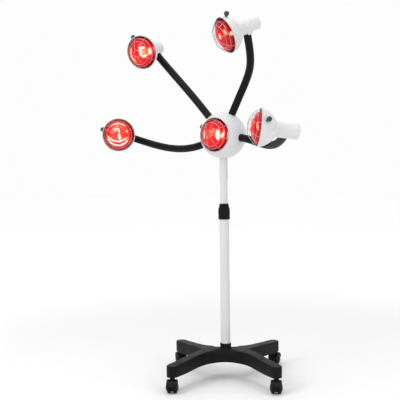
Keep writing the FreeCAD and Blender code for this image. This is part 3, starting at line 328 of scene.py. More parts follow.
def rounded(points, radius, count=5, loop=True):
    """Cuts each corner with an arc of that radius, or a list of radii."""
    out = []
    n = len(points)
    for i, p in enumerate(points):
        if not loop and i in (0, n - 1):
            out.append(tuple(p))
            continue
        r = radius[i] if isinstance(radius, (list, tuple)) else radius
        a, b, c = Vector(points[i - 1]), Vector(p), Vector(points[(i + 1) % n])
        u, w = (a - b).normalized(), (c - b).normalized()
        half = math.acos(max(-1.0, min(1.0, u.dot(w)))) / 2.0
        if r <= 0 or half > math.pi / 2 - 0.02:
            out.append(tuple(p))
            continue
        t = min(r / math.tan(half), (a - b).length * 0.48, (c - b).length * 0.48)
        r = t * math.tan(half)
        centre = b + (u + w).normalized() * (r / math.sin(half))
        p0, p1 = b + u * t, b + w * t
        a0 = math.atan2(p0.y - centre.y, p0.x - centre.x)
        a1 = math.atan2(p1.y - centre.y, p1.x - centre.x)
        turn = (a1 - a0 + math.pi) % (2 * math.pi) - math.pi
        for k in range(count + 1):
            q = a0 + turn * k / count
            out.append((centre.x + r * math.cos(q), centre.y + r * math.sin(q)))
    return out


class Build:
    """Collects closed shapes, in millimetres, into one mesh."""

    def __init__(self):
        self.v, self.f, self.m, self.uv = [], [], [], []

    def add(self, verts, faces, mat=0, at=None):
        base = len(self.v)
        for p in verts:
            q = Vector(p)
            self.v.append(at @ q if at is not None else q)
        for k, face in enumerate(faces):
            self.f.append(tuple(base + i for i in face))
            self.m.append(mat[k] if isinstance(mat, list) else mat)
        return self

    def lathe(self, profile, seg=96, mat=0, at=None, loop=False, wave=None):
        """Revolves (radius, height) points about Z. mat is one index, or one for each run of the profile."""
        verts, rings, faces, mats = [], [], [], []
        for k, (r, z) in enumerate(profile):
            ring = []
            for i in range(1 if r < 1e-6 else seg):
                a = 2 * math.pi * i / seg
                rr = r if wave is None else r + wave(k, r, z, a)
                ring.append(len(verts))
                verts.append((rr * math.cos(a), rr * math.sin(a), z))
            rings.append(ring)
        pairs = [(k, k + 1) for k in range(len(rings) - 1)] + ([(len(rings) - 1, 0)] if loop else [])
        for a, b in pairs:
            A, B = rings[a], rings[b]
            if len(A) == 1 and len(B) == 1:
                continue
            for i in range(seg):
                j = (i + 1) % seg
                if len(A) == 1:
                    faces.append((A[0], B[j], B[i]))
                elif len(B) == 1:
                    faces.append((A[i], A[j], B[0]))
                else:
                    faces.append((A[i], A[j], B[j], B[i]))
                mats.append(mat[a] if isinstance(mat, (list, tuple)) else mat)
        return self.add(verts, faces, mats, at)

    def sweep(self, path, radius, seg=12, loop=False, mat=0, at=None):
        """Round rod along path. radius is a number or one for each point."""
        pts = [Vector(p) for p in path]
        n = len(pts)
        tang = []
        for i in range(n):
            if loop:
                t = pts[(i + 1) % n] - pts[i - 1]
            else:
                t = pts[min(i + 1, n - 1)] - pts[max(i - 1, 0)]
            tang.append(t.normalized())
        side = Vector((0, 0, 1)).cross(tang[0])
        if side.length < 0.05:
            side = Vector((1, 0, 0)).cross(tang[0])
        side.normalize()
        frames = []
        for t in tang:
            side = (side - t * side.dot(t)).normalized()
            frames.append((side.copy(), t.cross(side)))
        if loop:
            frames = []
            axis = Vector((0, 0, 0))
            for i in range(n):
                axis += pts[i].cross(pts[(i + 1) % n])
            axis.normalize()
            for t in tang:
                frames.append((axis.copy(), t.cross(axis)))
        verts, faces = [], []
        for i, p in enumerate(pts):
            r = radius[i] if isinstance(radius, (list, tuple)) else radius
            for k in range(seg):
                a = 2 * math.pi * k / seg
                verts.append(p + frames[i][0] * (r * math.cos(a)) + frames[i][1] * (r * math.sin(a)))
        for i in range(n if loop else n - 1):
            j = (i + 1) % n
            for k in range(seg):
                m = (k + 1) % seg
                faces.append((i * seg + k, i * seg + m, j * seg + m, j * seg + k))
        if not loop:
            for i, p in ((0, pts[0]), (n - 1, pts[-1])):
                c = len(verts)
                verts.append(p)
                for k in range(seg):
                    faces.append((c, i * seg + (k + 1) % seg, i * seg + k))
        return self.add(verts, faces, mat, at)

    def loops(self, rings, mat=0, at=None, cap=True):
        """Skins rings of equal count, and closes both ends."""
        n = len(rings[0])
        verts = [p for ring in rings for p in ring]
        faces = []
        for i in range(len(rings) - 1):
            for k in range(n):
                m = (k + 1) % n
                faces.append((i * n + k, i * n + m, (i + 1) * n + m, (i + 1) * n + k))
        if cap:
            for i in (0, len(rings) - 1):
                c = len(verts)
                mid = Vector((0, 0, 0))
                for p in rings[i]:
                    mid += Vector(p)
                verts.append(mid / n)
                for k in range(n):
                    faces.append((c, i * n + k, i * n + (k + 1) % n))
        return self.add(verts, faces, mat, at)

    def object(self, name, materials, matrix=None, sharp=32.0):
        """The mesh as an object. matrix places the millimetre shape in the metre world."""
        me = bpy.data.meshes.new(name)
        me.from_pydata([tuple(p * MM) for p in self.v], [], self.f)
        if matrix is not None:
            me.transform(matrix)
        bm = bmesh.new()
        bm.from_mesh(me)
        bmesh.ops.recalc_face_normals(bm, faces=bm.faces)
        bm.to_mesh(me)
        bm.free()
        for m in materials:
            me.materials.append(m)
        me.polygons.foreach_set("material_index", self.m)
        me.polygons.foreach_set("use_smooth", [True] * len(me.polygons))
        me.set_sharp_from_angle(angle=math.radians(sharp))
        ob = bpy.data.objects.new(name, me)
        scene.collection.objects.link(ob)
        return ob


def ring_path(radius, z, count=96):
    return [(radius * math.cos(2 * math.pi * i / count), radius * math.sin(2 * math.pi * i / count), z) for i in range(count)]


def stands(ob, body, slot, *replaced):
    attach(ob, body)
    if replaced:
        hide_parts(*replaced)
    return ob


def metres(v):
    return Vector(v) * MM


# ------------------------------------------------------------------ the object's own measures, in millimetres
HUB = Vector((0, 0, 1083.0))
FACE = Vector((-0.53191, -0.84586, 0.03999)).normalized()
SIDE = Vector((0.84653, -0.53234, 0.0)).normalized()
RISE = FACE.cross(SIDE)
BALL, MOUTH, BACK = 102.0, 67.5, 92.0
NECK, NECK_END, STATION, TIP = 30.5, 157.0, 107.0, 47.0
GOOSE = 16.5
ARMS = {
    "left": dict(root=(-0.8057, 0.491, -0.3314), rim=(-489.8, 151.7, 11.8), axis=(-0.011, -1.0, -0.023), enter=(-0.9491, 0.0032, 0.3148),
                 curve=((-82.2, 50.1, -33.8), (-205.4, 125.1, -84.5), (-322.4, 258.3, -40.9), (-460.1, 258.8, 4.8))),
    "upper_left": dict(root=(-0.5555, 0.3842, 0.7374), rim=(-368.6, 98.7, 381.4), axis=(-0.392, -0.891, -0.229), enter=(-0.6029, 0.0608, 0.7955),
                       curve=((-56.7, 39.2, 75.2), (-152.9, 105.7, 202.9), (-257.5, 183.8, 312.0), (-310.0, 189.1, 381.2))),
    "top": dict(root=(0.3922, -0.2042, 0.8969), rim=(23.0, -279.1, 396.8), axis=(-0.818, -0.42, -0.394), enter=(-0.1544, -0.4991, 0.8527),
                curve=((40.0, -20.8, 91.5), (123.9, -64.5, 283.3), (137.1, -134.7, 262.1), (110.2, -221.8, 411.0))),
    "right": dict(root=(0.7752, -0.6202, -0.12), rim=(154.4, -432.8, 22.2), axis=(-0.984, -0.126, 0.128), enter=(0.166, -0.9095, 0.3811),
                  curve=((79.1, -63.3, -12.2), (156.7, -125.4, -24.3), (217.9, -190.5, -87.4), (254.7, -392.0, -3.0))),
}
GUARD_TURN = {"left": 38.4, "upper_left": 25.8, "top": 23.9, "right": 35.4, "hub": 30.0}


# ------------------------------------------------------------------ lamps
def shade_mesh(b):
    """Bell and neck in one skin, white outside, reflector inside, with a rolled lip at the opening."""
    lip = outline([(74.2, -1.9), (74.2, 0.1), (75.2, 0.9), (76.7, 0.2), (76.9, -1.4), (76.0, -2.4)], None)
    lip = rounded(lip, [0, 0.9, 0.8, 0.8, 0.8, 0], 4, loop=False)
    skin = outline([(76.0, -2.4), (62.0, -36.5), (34.5, -60.5), (30.5, -70.0), (30.5, -152.0), (25.5, -157.0), (0.0, -157.0)],
                   {0: (78.0, -1, 16), 1: (62.0, -1, 12), 2: (14.0, 1, 7), 4: (5.0, -1, 7)})
    inside = outline([(0.0, -154.8), (25.5, -154.8), (28.9, -151.5), (28.9, -70.4), (32.9, -61.0), (60.7, -35.6), (74.2, -1.9)],
                     {1: (3.6, 1, 4), 3: (14.0, -1, 6), 4: (61.0, 1, 10), 5: (77.0, 1, 14)})
    # outside and inside are joined at the back by the wall's own thickness
    profile = lip + skin[1:] + inside[:-1]
    mats = []
    for k in range(len(profile)):
        n_out = len(lip) + len(skin) - 1
        mats.append(0 if k < n_out else 1)
    mats[0] = 0
    # the wall at the axis: the two end points are both on the axis, so the back disc is closed by itself
    b.lathe(profile, 112, mats, loop=True)


def bulb_mesh(b, cap=True):
    """Glass: domed face, rounded shoulder, cone. Metal: threaded cap."""
    glass = outline([(0.0, 33.0), (59.5, 9.0), (62.5, 0.0), (60.0, -12.0), (35.0, -52.0), (22.0, -76.0), (13.4, -104.0)],
                    {0: (85.75, -1, 26), 1: (12.0, -1, 6), 2: (26.0, -1, 4)})
    thread = []
    z = -104.0
    k = 0
    while z > -141.0:
        thread.append((13.4 if k % 2 == 0 else 12.3, z))
        z -= 1.8
        k += 1
    end = rounded([(12.3, -142.0), (12.0, -144.0), (6.0, -149.5), (4.8, -150.0), (0.0, -150.0)], 1.0, 3, loop=False)
    profile = glass + thread[1:] + end
    mats = [0 if i < len(glass) - 1 else 1 for i in range(len(profile))]
    b.lathe(profile, 96, mats)


def dome_z(r, rim=73.2, rise=44.0):
    big = (rim * rim + rise * rise) / (2 * rise)
    return rise - big + math.sqrt(max(big * big - r * r, 0.0)) + 1.2


def guard_mesh(b, turn):
    """Rings and wires on one dome; each wire hooks over the rim ring."""
    wire = 0.85
    for r, w in ((73.2, 1.1), (64.0, wire), (51.0, wire), (15.0, wire)):
        b.sweep(ring_path(r, dome_z(r)), w, 10, loop=True)
    for k in range(8):
        a = math.radians(turn + 45.0 * k)
        path = []
        for r in [74.5, 74.2, 73.2] + [73.2 - (73.2 - 13.4) * (i / 26.0) for i in range(1, 27)]:
            z = dome_z(min(r, 73.2)) + (1.9 if r <= 73.2 else 1.9)
            if r > 74.3:
                z -= 1.7
            path.append((r * math.cos(a), r * math.sin(a), z))
        b.sweep(path, wire * 0.92, 8)


def knob_mesh(b):
    """Ball knob with a flat front, a parting line, a collar and a washer."""
    ball = []
    R, cz = 11.0, 13.4
    for i in range(0, 37):
        a = math.radians(-62.0 + 152.0 * i / 36.0)
        r, z = R * math.cos(a), cz + R * math.sin(a)
        if abs(a) < math.radians(2.2):
            r -= 0.18
        ball.append((max(r, 0.0), z))
    ball[-1] = (0.0, cz + R - 0.35)
    neck = rounded([(0.0, 0.2), (4.9, 0.2), (4.9, ball[0][1] - 0.2), (ball[0][0] + 0.01, ball[0][1])], [0, 0, 0.8, 0], 4, loop=False)
    b.lathe(neck + ball[1:], 48, 0)
    washer = rounded([(2.2, -0.6), (7.6, -0.6), (7.6, 1.0), (2.2, 1.0)], [0, 0, 0.6, 0], 4)
    b.lathe(washer, 48, 1, loop=True)
    stud = [(0.0, -8.0), (2.6, -8.0), (3.0, -7.5), (3.0, 0.4), (0.0, 0.4)]
    b.lathe(stud, 24, 1)


frames = {}
for name, arm in ARMS.items():
    axis = Vector(arm["axis"]).normalized()
    enter = Vector(arm["enter"])
    enter = (enter - axis * enter.dot(axis)).normalized()
    rim = HUB + Vector(arm["rim"])
    frames[name] = place(metres(rim), axis, -enter)
    arm["n"] = Vector(arm["root"]).normalized()
    arm["axis_n"], arm["enter_n"], arm["rim_p"] = axis, enter, rim
frames["hub"] = place(metres(HUB + FACE * MOUTH), FACE, SIDE)
glow = {k: glow_material("glowing_glass_" + k, frames[k], *v) for k, v in GLOW_AND_PAINTED_REFLECTIONS.items()}
reflector = {k: reflector_material(k, m) for k, m in frames.items()}

lean = math.radians(20.0)
for name, m in frames.items():
    body = "head" if name == "hub" else "lamp_" + name
    if name != "hub":
        b = Build()
        shade_mesh(b)
        # boss that the gooseneck runs into, and the screw at the neck's end
        b.lathe(rounded([(0.0, 24.0), (19.4, 24.0), (19.4, 31.6), (18.2, 33.2), (0.0, 33.2)], [0, 0, 1.2, 1.2, 0], 4, loop=False), 48, 0,
                at=place((0, 0, -STATION), (1, 0, 0), (0, 0, 1)))
        b.lathe(rounded([(0.0, -156.0), (4.6, -156.0), (4.4, -158.3), (2.9, -159.3), (0.0, -159.5)], [0, 0, 0.6, 0.6, 0], 3, loop=False), 32, 2)
        shade = b.object("lamp_bell_" + name, [white, reflector[name], steel], m)
        stands(shade, body, "white_paint", "shade_" + name)
    b = Build()
    bulb_mesh(b)
    bulb = b.object("heat_bulb_" + name, [glow[name], brass], m, sharp=50.0)
    stands(bulb, body, "red_glass", "bulb_" + name)
    b = Build()
    guard_mesh(b, GUARD_TURN[name])
    guard = b.object("wire_cage_" + name, [wire_steel], m, sharp=60.0)
    stands(guard, body, "guard_wire", "guard_" + name)
    b = Build()
    knob_mesh(b)
    if name == "hub":
        out = Vector((-0.823, 0.45, 0.347)).normalized()
        km = place(metres(HUB + out * BALL), out)
        kbody = "hub_knob"
    else:
        foot = m @ metres((-70.9, 0, -20.0))
        out = m.to_3x3() @ Vector((-math.cos(lean), 0, -math.sin(lean)))
        km = place(foot, out)
        kbody = "knob_" + name
    knob = b.object("ball_knob_" + name, [knob_black, steel], km, sharp=40.0)
    stands(knob, kbody, "knob_black", "knob_" + name)


# ------------------------------------------------------------------ hub
b = Build()
start = math.acos(MOUTH / BALL)
stop = math.pi - math.acos(BACK / BALL)
outer = [(BALL * math.sin(start + (stop - start) * i / 60.0), BALL * math.cos(start + (stop - start) * i / 60.0)) for i in range(61)]
inner_r = BALL - 3.5
s2, e2 = math.acos(MOUTH / inner_r), math.pi - math.acos(BACK / inner_r)
inner = [(inner_r * math.sin(e2 + (s2 - e2) * i / 40.0), inner_r * math.cos(e2 + (s2 - e2) * i / 40.0)) for i in range(41)]
profile = [(76.4, MOUTH)] + outer[1:] + inner
b.lathe(profile, 128, 0, loop=True)
ball = b.object("hub_shell", [white], place(metres(HUB), FACE, SIDE), sharp=40.0)
stands(ball, "head", "white_paint", "hub_ball", "gooseneck_cups")

b = Build()
b.lathe(rounded([(73.0, MOUTH - 3.0), (75.6, MOUTH - 2.4), (76.9, MOUTH - 0.4), (75.9, MOUTH + 0.9), (73.4, MOUTH + 0.7), (72.4, MOUTH - 1.2)], 0.9, 4), 128, 0, loop=True)
lip = b.object("hub_lip", [lip_steel], place(metres(HUB), FACE, SIDE))
stands(lip, "head", "white_paint")

b = Build()
liner_in = outline([(72.4, -1.2), (66.5, -27.5), (56.0, -49.5), (42.0, -69.5), (30.0, -85.5), (24.0, -95.5)],
                   {0: (160.0, -1, 8), 1: (140.0, -1, 6), 2: (200.0, -1, 5), 3: (300.0, -1, 4)})
liner_out = [(r + 0.9, z - 0.4) for r, z in reversed(liner_in)]
b.lathe(liner_in + liner_out, 112, 0, loop=True)
liner = b.object("hub_liner", [reflector["hub"]], frames["hub"])
stands(liner, "head", "reflector", "hub_reflector")


# ------------------------------------------------------------------ goosenecks
def bez(p, t):
    return p[0] * ((1 - t) ** 3) + p[1] * (3 * t * (1 - t) ** 2) + p[2] * (3 * t * t * (1 - t)) + p[3] * (t ** 3)


def tube_piece(name, pts, start_s, radius):
    """One run of sheathed tube with a map along and round it, closed at both ends."""
    seg = 44
    b = Build()
    b.sweep(pts, radius, seg)
    ob = b.object(name, [arm_black], sharp=50.0)
    me = ob.data
    uv = me.uv_layers.new(name="UVMap")
    run = [start_s]
    for i in range(1, len(pts)):
        run.append(run[-1] + (pts[i] - pts[i - 1]).length)
    for poly in me.polygons:
        ks = [me.loops[l].vertex_index for l in poly.loop_indices]
        sides = [k % seg for k in ks if k < seg * len(pts)]
        wraps = max(sides) - min(sides) > seg / 2 if sides else False
        for l in poly.loop_indices:
            k = me.loops[l].vertex_index
            if k < seg * len(pts):
                u = (k % seg) / seg + (1.0 if wraps and (k % seg) < seg / 2 else 0.0)
                uv.data[l].uv = (u * 0.6, run[k // seg] / 170.0)
            else:
                uv.data[l].uv = (0.5, 0.0 if k == seg * len(pts) else run[-1] / 170.0)
    return ob


for name, arm in ARMS.items():
    p = [HUB + Vector(c) for c in arm["curve"]]
    n, axis, enter = arm["n"], arm["axis_n"], arm["enter_n"]
    fine = [bez(p, i / 400.0) for i in range(401)]
    head = [fine[0] - (fine[1] - fine[0]).normalized() * s for s in (14.0, 9.0, 4.0)]
    tail = [fine[-1] + enter * s for s in (3.0, 6.0)]
    line = head + fine + tail
    run = [0.0]
    for i in range(1, len(line)):
        run.append(run[-1] + (line[i] - line[i - 1]).length)

    def at(s):
        for i in range(1, len(line)):
            if run[i] >= s:
                k = (s - run[i - 1]) / max(run[i] - run[i - 1], 1e-9)
                return line[i - 1] * (1 - k) + line[i] * k
        return line[-1].copy()
    total = run[-1]
    root = HUB + n * (BALL + 8.4)
    neck = arm["rim_p"] - axis * STATION
    tip = neck - enter * TIP
    # the middle pivot: half way along the part of the curve that the two tubes share
    shared = [q for q in fine if (q - HUB).length > BALL + 8.4 + 52.0 and (q - neck).length > TIP + 52.0]
    sr = [0.0]
    for i in range(1, len(shared)):
        sr.append(sr[-1] + (shared[i] - shared[i - 1]).length)
    mid = shared[min(range(len(shared)), key=lambda i: abs(sr[i] - sr[-1] / 2))]
    s_mid = run[min(range(len(line)), key=lambda i: (line[i] - mid).length)]
    cuts = [0.0, s_mid * 0.5 + 30.0, s_mid + (total - s_mid) * 0.5 - 20.0, total]
    t_mid = (at(s_mid + 4.0) - at(s_mid - 4.0)).normalized()
    for k, (a, z) in enumerate(zip(cuts[:-1], cuts[1:])):
        count = max(int((z - a) / 4.0), 8)
        pts = [at(a + (z - a) * i / count) for i in range(count + 1)]
        ob = tube_piece("gooseneck_%s_%s" % (name, "abc"[k]), pts, a, GOOSE)
        if k == 0:
            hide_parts("gooseneck_inner_" + name)
            "arm_%s_inner" % name
            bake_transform(ob)
        elif k == 1:
            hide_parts("gooseneck_outer_" + name)
            reach = min(60.0, (s_mid - cuts[1]) * 0.8, (cuts[2] - s_mid) * 0.8)
            "arm_%s_inner" % name
            "arm_%s_outer" % name
            metres(mid - t_mid * reach)
            metres(mid + t_mid * reach)
            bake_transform(ob)
        else:
            "arm_%s_outer" % name
            "lamp_" + name
            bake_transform(ob)


# ------------------------------------------------------------------ base
LEG, STEM = 24.0, 219.0
LC, LS = math.cos(math.radians(57.3)), math.sin(math.radians(57.3))
FRONT_Y = (40.0 + STEM * (LS - LC) - LEG) / (1.0 - LC)
FRONT_R = FRONT_Y - 40.0
SIDE_R = 12.0
SIDE_X = (STEM * (LS - LC) + LEG + SIDE_R) / LS
FRONT_U = (FRONT_R * LS - STEM) * LC + (FRONT_Y - FRONT_R * LC - STEM) * LS
SIDE_U = (SIDE_X - SIDE_R * LS - STEM) * LC + (SIDE_R * LC - STEM) * LS


def inset_of(x, y):
    """How far a point of the plan lies inside the base's outline."""
    x, y = abs(x), abs(y)
    u = (x - STEM) * LC + (y - STEM) * LS
    v = (y - STEM) * LC - (x - STEM) * LS
    if u > 0:
        return LEG - math.hypot(u, v)
    front = math.hypot(x, y - FRONT_Y) - FRONT_R if u < FRONT_U else LEG - v
    side = math.hypot(x - SIDE_X, y) - SIDE_R if u < SIDE_U else LEG + v
    return min(front, side)


def table(r, rows):
    for (r0, z0), (r1, z1) in zip(rows, rows[1:]):
        if r <= r1:
            k = (r - r0) / (r1 - r0)
            return z0 + (z1 - z0) * k
    return rows[-1][1]


TOP = [(0, 134.3), (50, 134.2), (100, 130.6), (150, 127.2), (190, 123.9), (220, 121.3), (250, 118.9), (300, 115.7), (345, 113.2)]
UNDER = [(0, 80.0), (40, 79.4), (80, 77.2), (127, 74.3), (164, 72.0), (205, 69.0), (246, 66.2), (266, 65.6), (345, 65.6)]


def smooth_table(r, rows):
    return (table(max(r - 12.0, 0.0), rows) + 2.0 * table(r, rows) + table(r + 12.0, rows)) / 4.0


def fade(t):
    t = min(max(t, 0.0), 1.0)
    return t * t * (3.0 - 2.0 * t)


def top_z(x, y):
    """Roof height: falls towards the tips, with a scoop in front of and behind the pole."""
    z = smooth_table(math.hypot(x, y), TOP)
    return z - 17.0 * fade((abs(y) - 27.5) / 15.0) * fade((66.0 - abs(x)) / 48.0)


def base_ring(d):
    """The base's outline moved inwards by d."""
    lean = math.atan2(LC, -LS)
    quarter = []
    for i in range(13):
        q = math.pi + (lean - math.pi) * i / 12.0
        quarter.append((SIDE_X + (SIDE_R + d) * math.cos(q), (SIDE_R + d) * math.sin(q)))
    foot, tip = quarter[-1], (STEM + (LEG - d) * LS, STEM - (LEG - d) * LC)
    for i in range(1, 30):
        quarter.append((foot[0] + (tip[0] - foot[0]) * i / 30.0, foot[1] + (tip[1] - foot[1]) * i / 30.0))
    for i in range(21):
        q = lean - math.pi + math.pi * i / 20.0
        quarter.append((STEM + (LEG - d) * math.cos(q), STEM + (LEG - d) * math.sin(q)))
    tip = quarter[-1]
    foot = ((FRONT_R + d) * LS, FRONT_Y - (FRONT_R + d) * LC)
    for i in range(1, 20):
        quarter.append((tip[0] + (foot[0] - tip[0]) * i / 20.0, tip[1] + (foot[1] - tip[1]) * i / 20.0))
    for i in range(31):
        q = lean - math.pi + (-math.pi / 2.0 - lean + math.pi) * i / 30.0
        quarter.append(((FRONT_R + d) * math.cos(q), FRONT_Y + (FRONT_R + d) * math.sin(q)))
    back = quarter[::-1]
    return (quarter[:-1] + [(-x, y) for x, y in back[:-1]] + [(-x, -y) for x, y in quarter[:-1]] + [(x, -y) for x, y in back[:-1]])


BEVEL = 4.5
steps = [0.0, 0.25, 1.0, 2.3, 4.0, 6.5, 9.5]
verts2, edges2 = [], []
for d in steps:
    ring = base_ring(d)
    base_i = len(verts2)
    verts2 += [Vector(q) for q in ring]
    edges2 += [(base_i + i, base_i + (i + 1) % len(ring)) for i in range(len(ring))]
span = 340
for ix in range(-span, span + 1, 7):
    for iy in range(-span, span + 1, 7):
        if inset_of(ix + 0.013, iy + 0.017) > 12.0:
            verts2.append(Vector((ix + 0.013, iy + 0.017)))
cdt = delaunay_2d_cdt(verts2, edges2, [], 1, 1e-5)
flat = [(q.x, q.y) for q in cdt[0]]
tris = [tuple(t) for t in cdt[2]]
depth_in = [max(inset_of(x, y), 0.0) for x, y in flat]


def edge_drop(d):
    return 0.0 if d >= BEVEL else BEVEL - math.sqrt(max(BEVEL ** 2 - (BEVEL - d) ** 2, 0.0))


b = Build()
verts3 = [(x, y, top_z(x, y) - edge_drop(d)) for (x, y), d in zip(flat, depth_in)]
faces3 = list(tris)
# ceiling: the same triangles from the 4 mm ring inwards, lowered by the wall
WALL = 4.0
low_id = {}
for i, ((x, y), d) in enumerate(zip(flat, depth_in)):
    if d >= WALL - 0.02:
        low_id[i] = len(verts3)
        verts3.append((x, y, top_z(x, y) - edge_drop(d) - WALL))
for t in tris:
    if all(i in low_id for i in t):
        faces3.append(tuple(low_id[i] for i in reversed(t)))
# walls: outer skin, lip and inner skin; the CDT may renumber, so rings are found by place
index_at = {(round(x, 3), round(y, 3)): i for i, (x, y) in enumerate(flat)}
outer_ring = base_ring(0.0)
inner_ring = base_ring(WALL)
count = len(outer_ring)
up = [index_at[(round(x, 3), round(y, 3))] for x, y in outer_ring]
inn = [low_id[index_at[(round(x, 3), round(y, 3))]] for x, y in inner_ring]
rows = [up]
for off, lift in ((0.0, 0.9), (0.3, 0.25), (0.9, 0.0), (WALL - 0.5, 0.0)):
    ring = base_ring(off)
    row = []
    for x, y in ring:
        row.append(len(verts3))
        verts3.append((x, y, smooth_table(math.hypot(x, y), UNDER) + lift))
    rows.append(row)
row = []
for x, y in inner_ring:
    row.append(len(verts3))
    verts3.append((x, y, smooth_table(math.hypot(x, y), UNDER) + 0.5))
rows.append(row)
rows.append(inn)
for A, B in zip(rows, rows[1:]):
    for i in range(count):
        j = (i + 1) % count
        faces3.append((A[i], B[i], B[j], A[j]))
b.add(verts3, faces3, 0)
for sx, sy in ((-1, -1), (1, -1), (1, 1), (-1, 1)):
    b.lathe(rounded([(5.3, 65.7), (13.0, 65.7), (13.0, 111.6), (5.3, 111.6)], [0.6, 1.0, 0, 0], 3), 40, 0,
            at=Matrix.Translation((STEM * sx, STEM * sy, 0)), loop=True)
b.lathe(rounded([(21.6, 97.5), (28.5, 97.5), (28.5, 131.6), (21.6, 131.6)], [0.6, 1.0, 0, 0], 3), 64, 0, loop=True)
shell = b.object("base_moulding", [base_black], sharp=38.0)
stands(shell, "base", "base_black", "base_shell")

b = Build()
b.lathe(rounded([(21.5, 134.1), (27.2, 134.1), (26.6, 137.0), (25.0, 139.2), (24.4, 157.0), (23.2, 158.5), (21.5, 158.5)],
                [0, 0, 1.2, 1.5, 1.2, 0.6, 0], 5), 96, 0, loop=True)
ring = b.object("socket_ring", [clamp_black])
stands(ring, "base", "base_black", "pole_socket")


# ------------------------------------------------------------------ castors
def castor_hood(b):
    """Hood over two wheels and the plate between them, stem socket on top. Stem on Z, wheels trail to -Y."""
    cy, cz = -14.0, 25.0
    section = rounded([(-23.0, 27.3), (-23.0, 30.2), (-19.5, 32.4), (0.0, 32.9), (19.5, 32.4), (23.0, 30.2), (23.0, 27.3), (0.0, 27.0)],
                      [0.5, 1.2, 3.0, 4.0, 3.0, 1.2, 0.5, 0.5], 4)
    rings = []
    for i in range(33):
        a = math.radians(9.0 + 162.0 * i / 32.0)
        fade = 0.0 if 1 < i < 31 else (0.5 if i in (1, 31) else 1.3)
        rings.append([(x * (1 - fade * 0.012), cy - (r - fade * 0.2) * math.cos(a), cz + (r - fade * 0.2) * math.sin(a)) for x, r in section])
    b.loops(rings, 0)
    plate = rounded([(-23.0, 8.5), (-4.0, 7.5), (9.0, 28.0), (9.0, 58.0), (-9.0, 58.0), (-26.0, 49.0), (-33.0, 35.0)],
                    [4.0, 4.0, 5.0, 1.0, 2.0, 6.0, 6.0], 5)
    rings = []
    for x, s in ((-6.4, 0.96), (-5.6, 0.99), (-4.8, 1.0), (4.8, 1.0), (5.6, 0.99), (6.4, 0.96)):
        rings.append([(x, -12.0 + (y + 12.0) * s, 35.0 + (z - 35.0) * s) for y, z in plate])
    b.loops(rings, 0)
    b.lathe(rounded([(5.2, 48.0), (11.6, 48.0), (11.2, 56.0), (10.0, 60.2), (5.2, 60.2)], [0, 0, 2.0, 1.4, 0.4], 5), 48, 0, loop=True)


def castor_wheels(b):
    """Two wheels: barrel tread, domed cover with a shallow groove, hollow hub side."""
    for s in (-1, 1):
        m = place((0, -14.0, 25.0), (s, 0, 0), (0, 0, 1))
        tread = rounded([(3.2, 7.2), (23.2, 7.2), (25.0, 9.2), (25.0, 16.6), (23.6, 18.8), (22.6, 18.9), (22.2, 18.1), (21.4, 18.4), (18.6, 22.2),
                         (12.0, 25.6), (5.0, 26.9), (0.0, 27.0)],
                        [0, 0.8, 2.0, 2.0, 0.8, 0.4, 0.3, 0.6, 5.0, 8.0, 4.0, 0], 4, loop=False)
        profile = [(0.0, 17.0), (3.2, 17.0)] + tread
        mats = []
        for k, (r, z) in enumerate(profile):
            mats.append(1 if (22.9 < r <= 25.1 and z < 18.9) else 0)
        b.lathe(profile, 56, mats, at=m)
    b.lathe([(0.0, -17.5), (2.9, -17.5), (2.9, 17.5), (0.0, 17.5)], 24, 2, at=place((0, -14.0, 25.0), (1, 0, 0), (0, 0, 1)))


TURN = {"front_left": 0.0, "front_right": -4.0, "back_right": 160.0, "back_left": -163.0}
SPOT = {"front_left": (-1, -1), "front_right": (1, -1), "back_right": (1, 1), "back_left": (-1, 1)}
for corner, turn in TURN.items():
    m = Matrix.Translation(metres((STEM * SPOT[corner][0], STEM * SPOT[corner][1], 0))) @ Matrix.Rotation(math.radians(turn), 4, "Z")
    b = Build()
    castor_hood(b)
    hood = b.object("castor_cover_" + corner, [castor_black], m, sharp=40.0)
    stands(hood, "hood_" + corner, "castor_black", "castor_%s_hood" % corner)
    b = Build()
    castor_wheels(b)
    # the wheels ride their own body, so that their marks turn with it
    wheels = b.object("castor_pair_" + corner, [castor_black, tread_black, steel], m, sharp=40.0)
    stands(wheels, "wheels_" + corner, "castor_black", "castor_%s_wheels" % corner)


# ------------------------------------------------------------------ pole, clamp and sleeve
b = Build()
b.lathe([(20.0, 118.0), (21.3, 118.0), (21.5, 118.4)] + [(21.5, 130.0 + 20.0 * i) for i in range(31)] + [(21.5, 744.6), (21.2, 745.0), (20.0, 745.0)], 112, 0, loop=True)
tube = b.object("lower_tube", [white])
stands(tube, "base", "white_paint", "lower_pole")

b = Build()
b.lathe([(15.0, 330.0), (16.5, 330.0)] + [(16.5, 350.0 + 20.0 * i) for i in range(31)] + [(16.5, 968.0), (15.0, 968.0)], 96, 0, loop=True)
tube = b.object("upper_tube", [white])
stands(tube, "mast", "white_paint", "upper_pole")

b = Build()
b.lathe(rounded([(16.7, 887.0), (17.6, 887.0), (18.4, 889.5), (18.4, 990.0), (16.7, 990.0)], [0, 0.6, 2.5, 0, 0], 6), 96, 0, loop=True)
sleeve = b.object("neck_sleeve", [white])
stands(sleeve, "head", "white_paint", "head_sleeve")

b = Build()
profile = rounded([(16.65, 714.0), (19.8, 714.0), (19.8, 745.2), (21.3, 745.4), (21.9, 764.2), (23.4, 764.6), (23.4, 767.6), (21.5, 768.6),
                   (21.0, 772.6), (22.0, 773.2), (21.8, 775.4), (20.4, 776.2), (19.9, 781.0), (18.9, 782.5), (16.65, 782.5)],
                  [0, 0, 0, 0.5, 0.4, 0.9, 0.9, 0.7, 0.7, 0.6, 0.6, 0.7, 1.0, 0.8, 0], 4)
b.lathe(profile, 96, 0, loop=True)
collet = b.object("collet_sleeve", [clamp_black])
stands(collet, "base", "base_black", "clamp_collet")


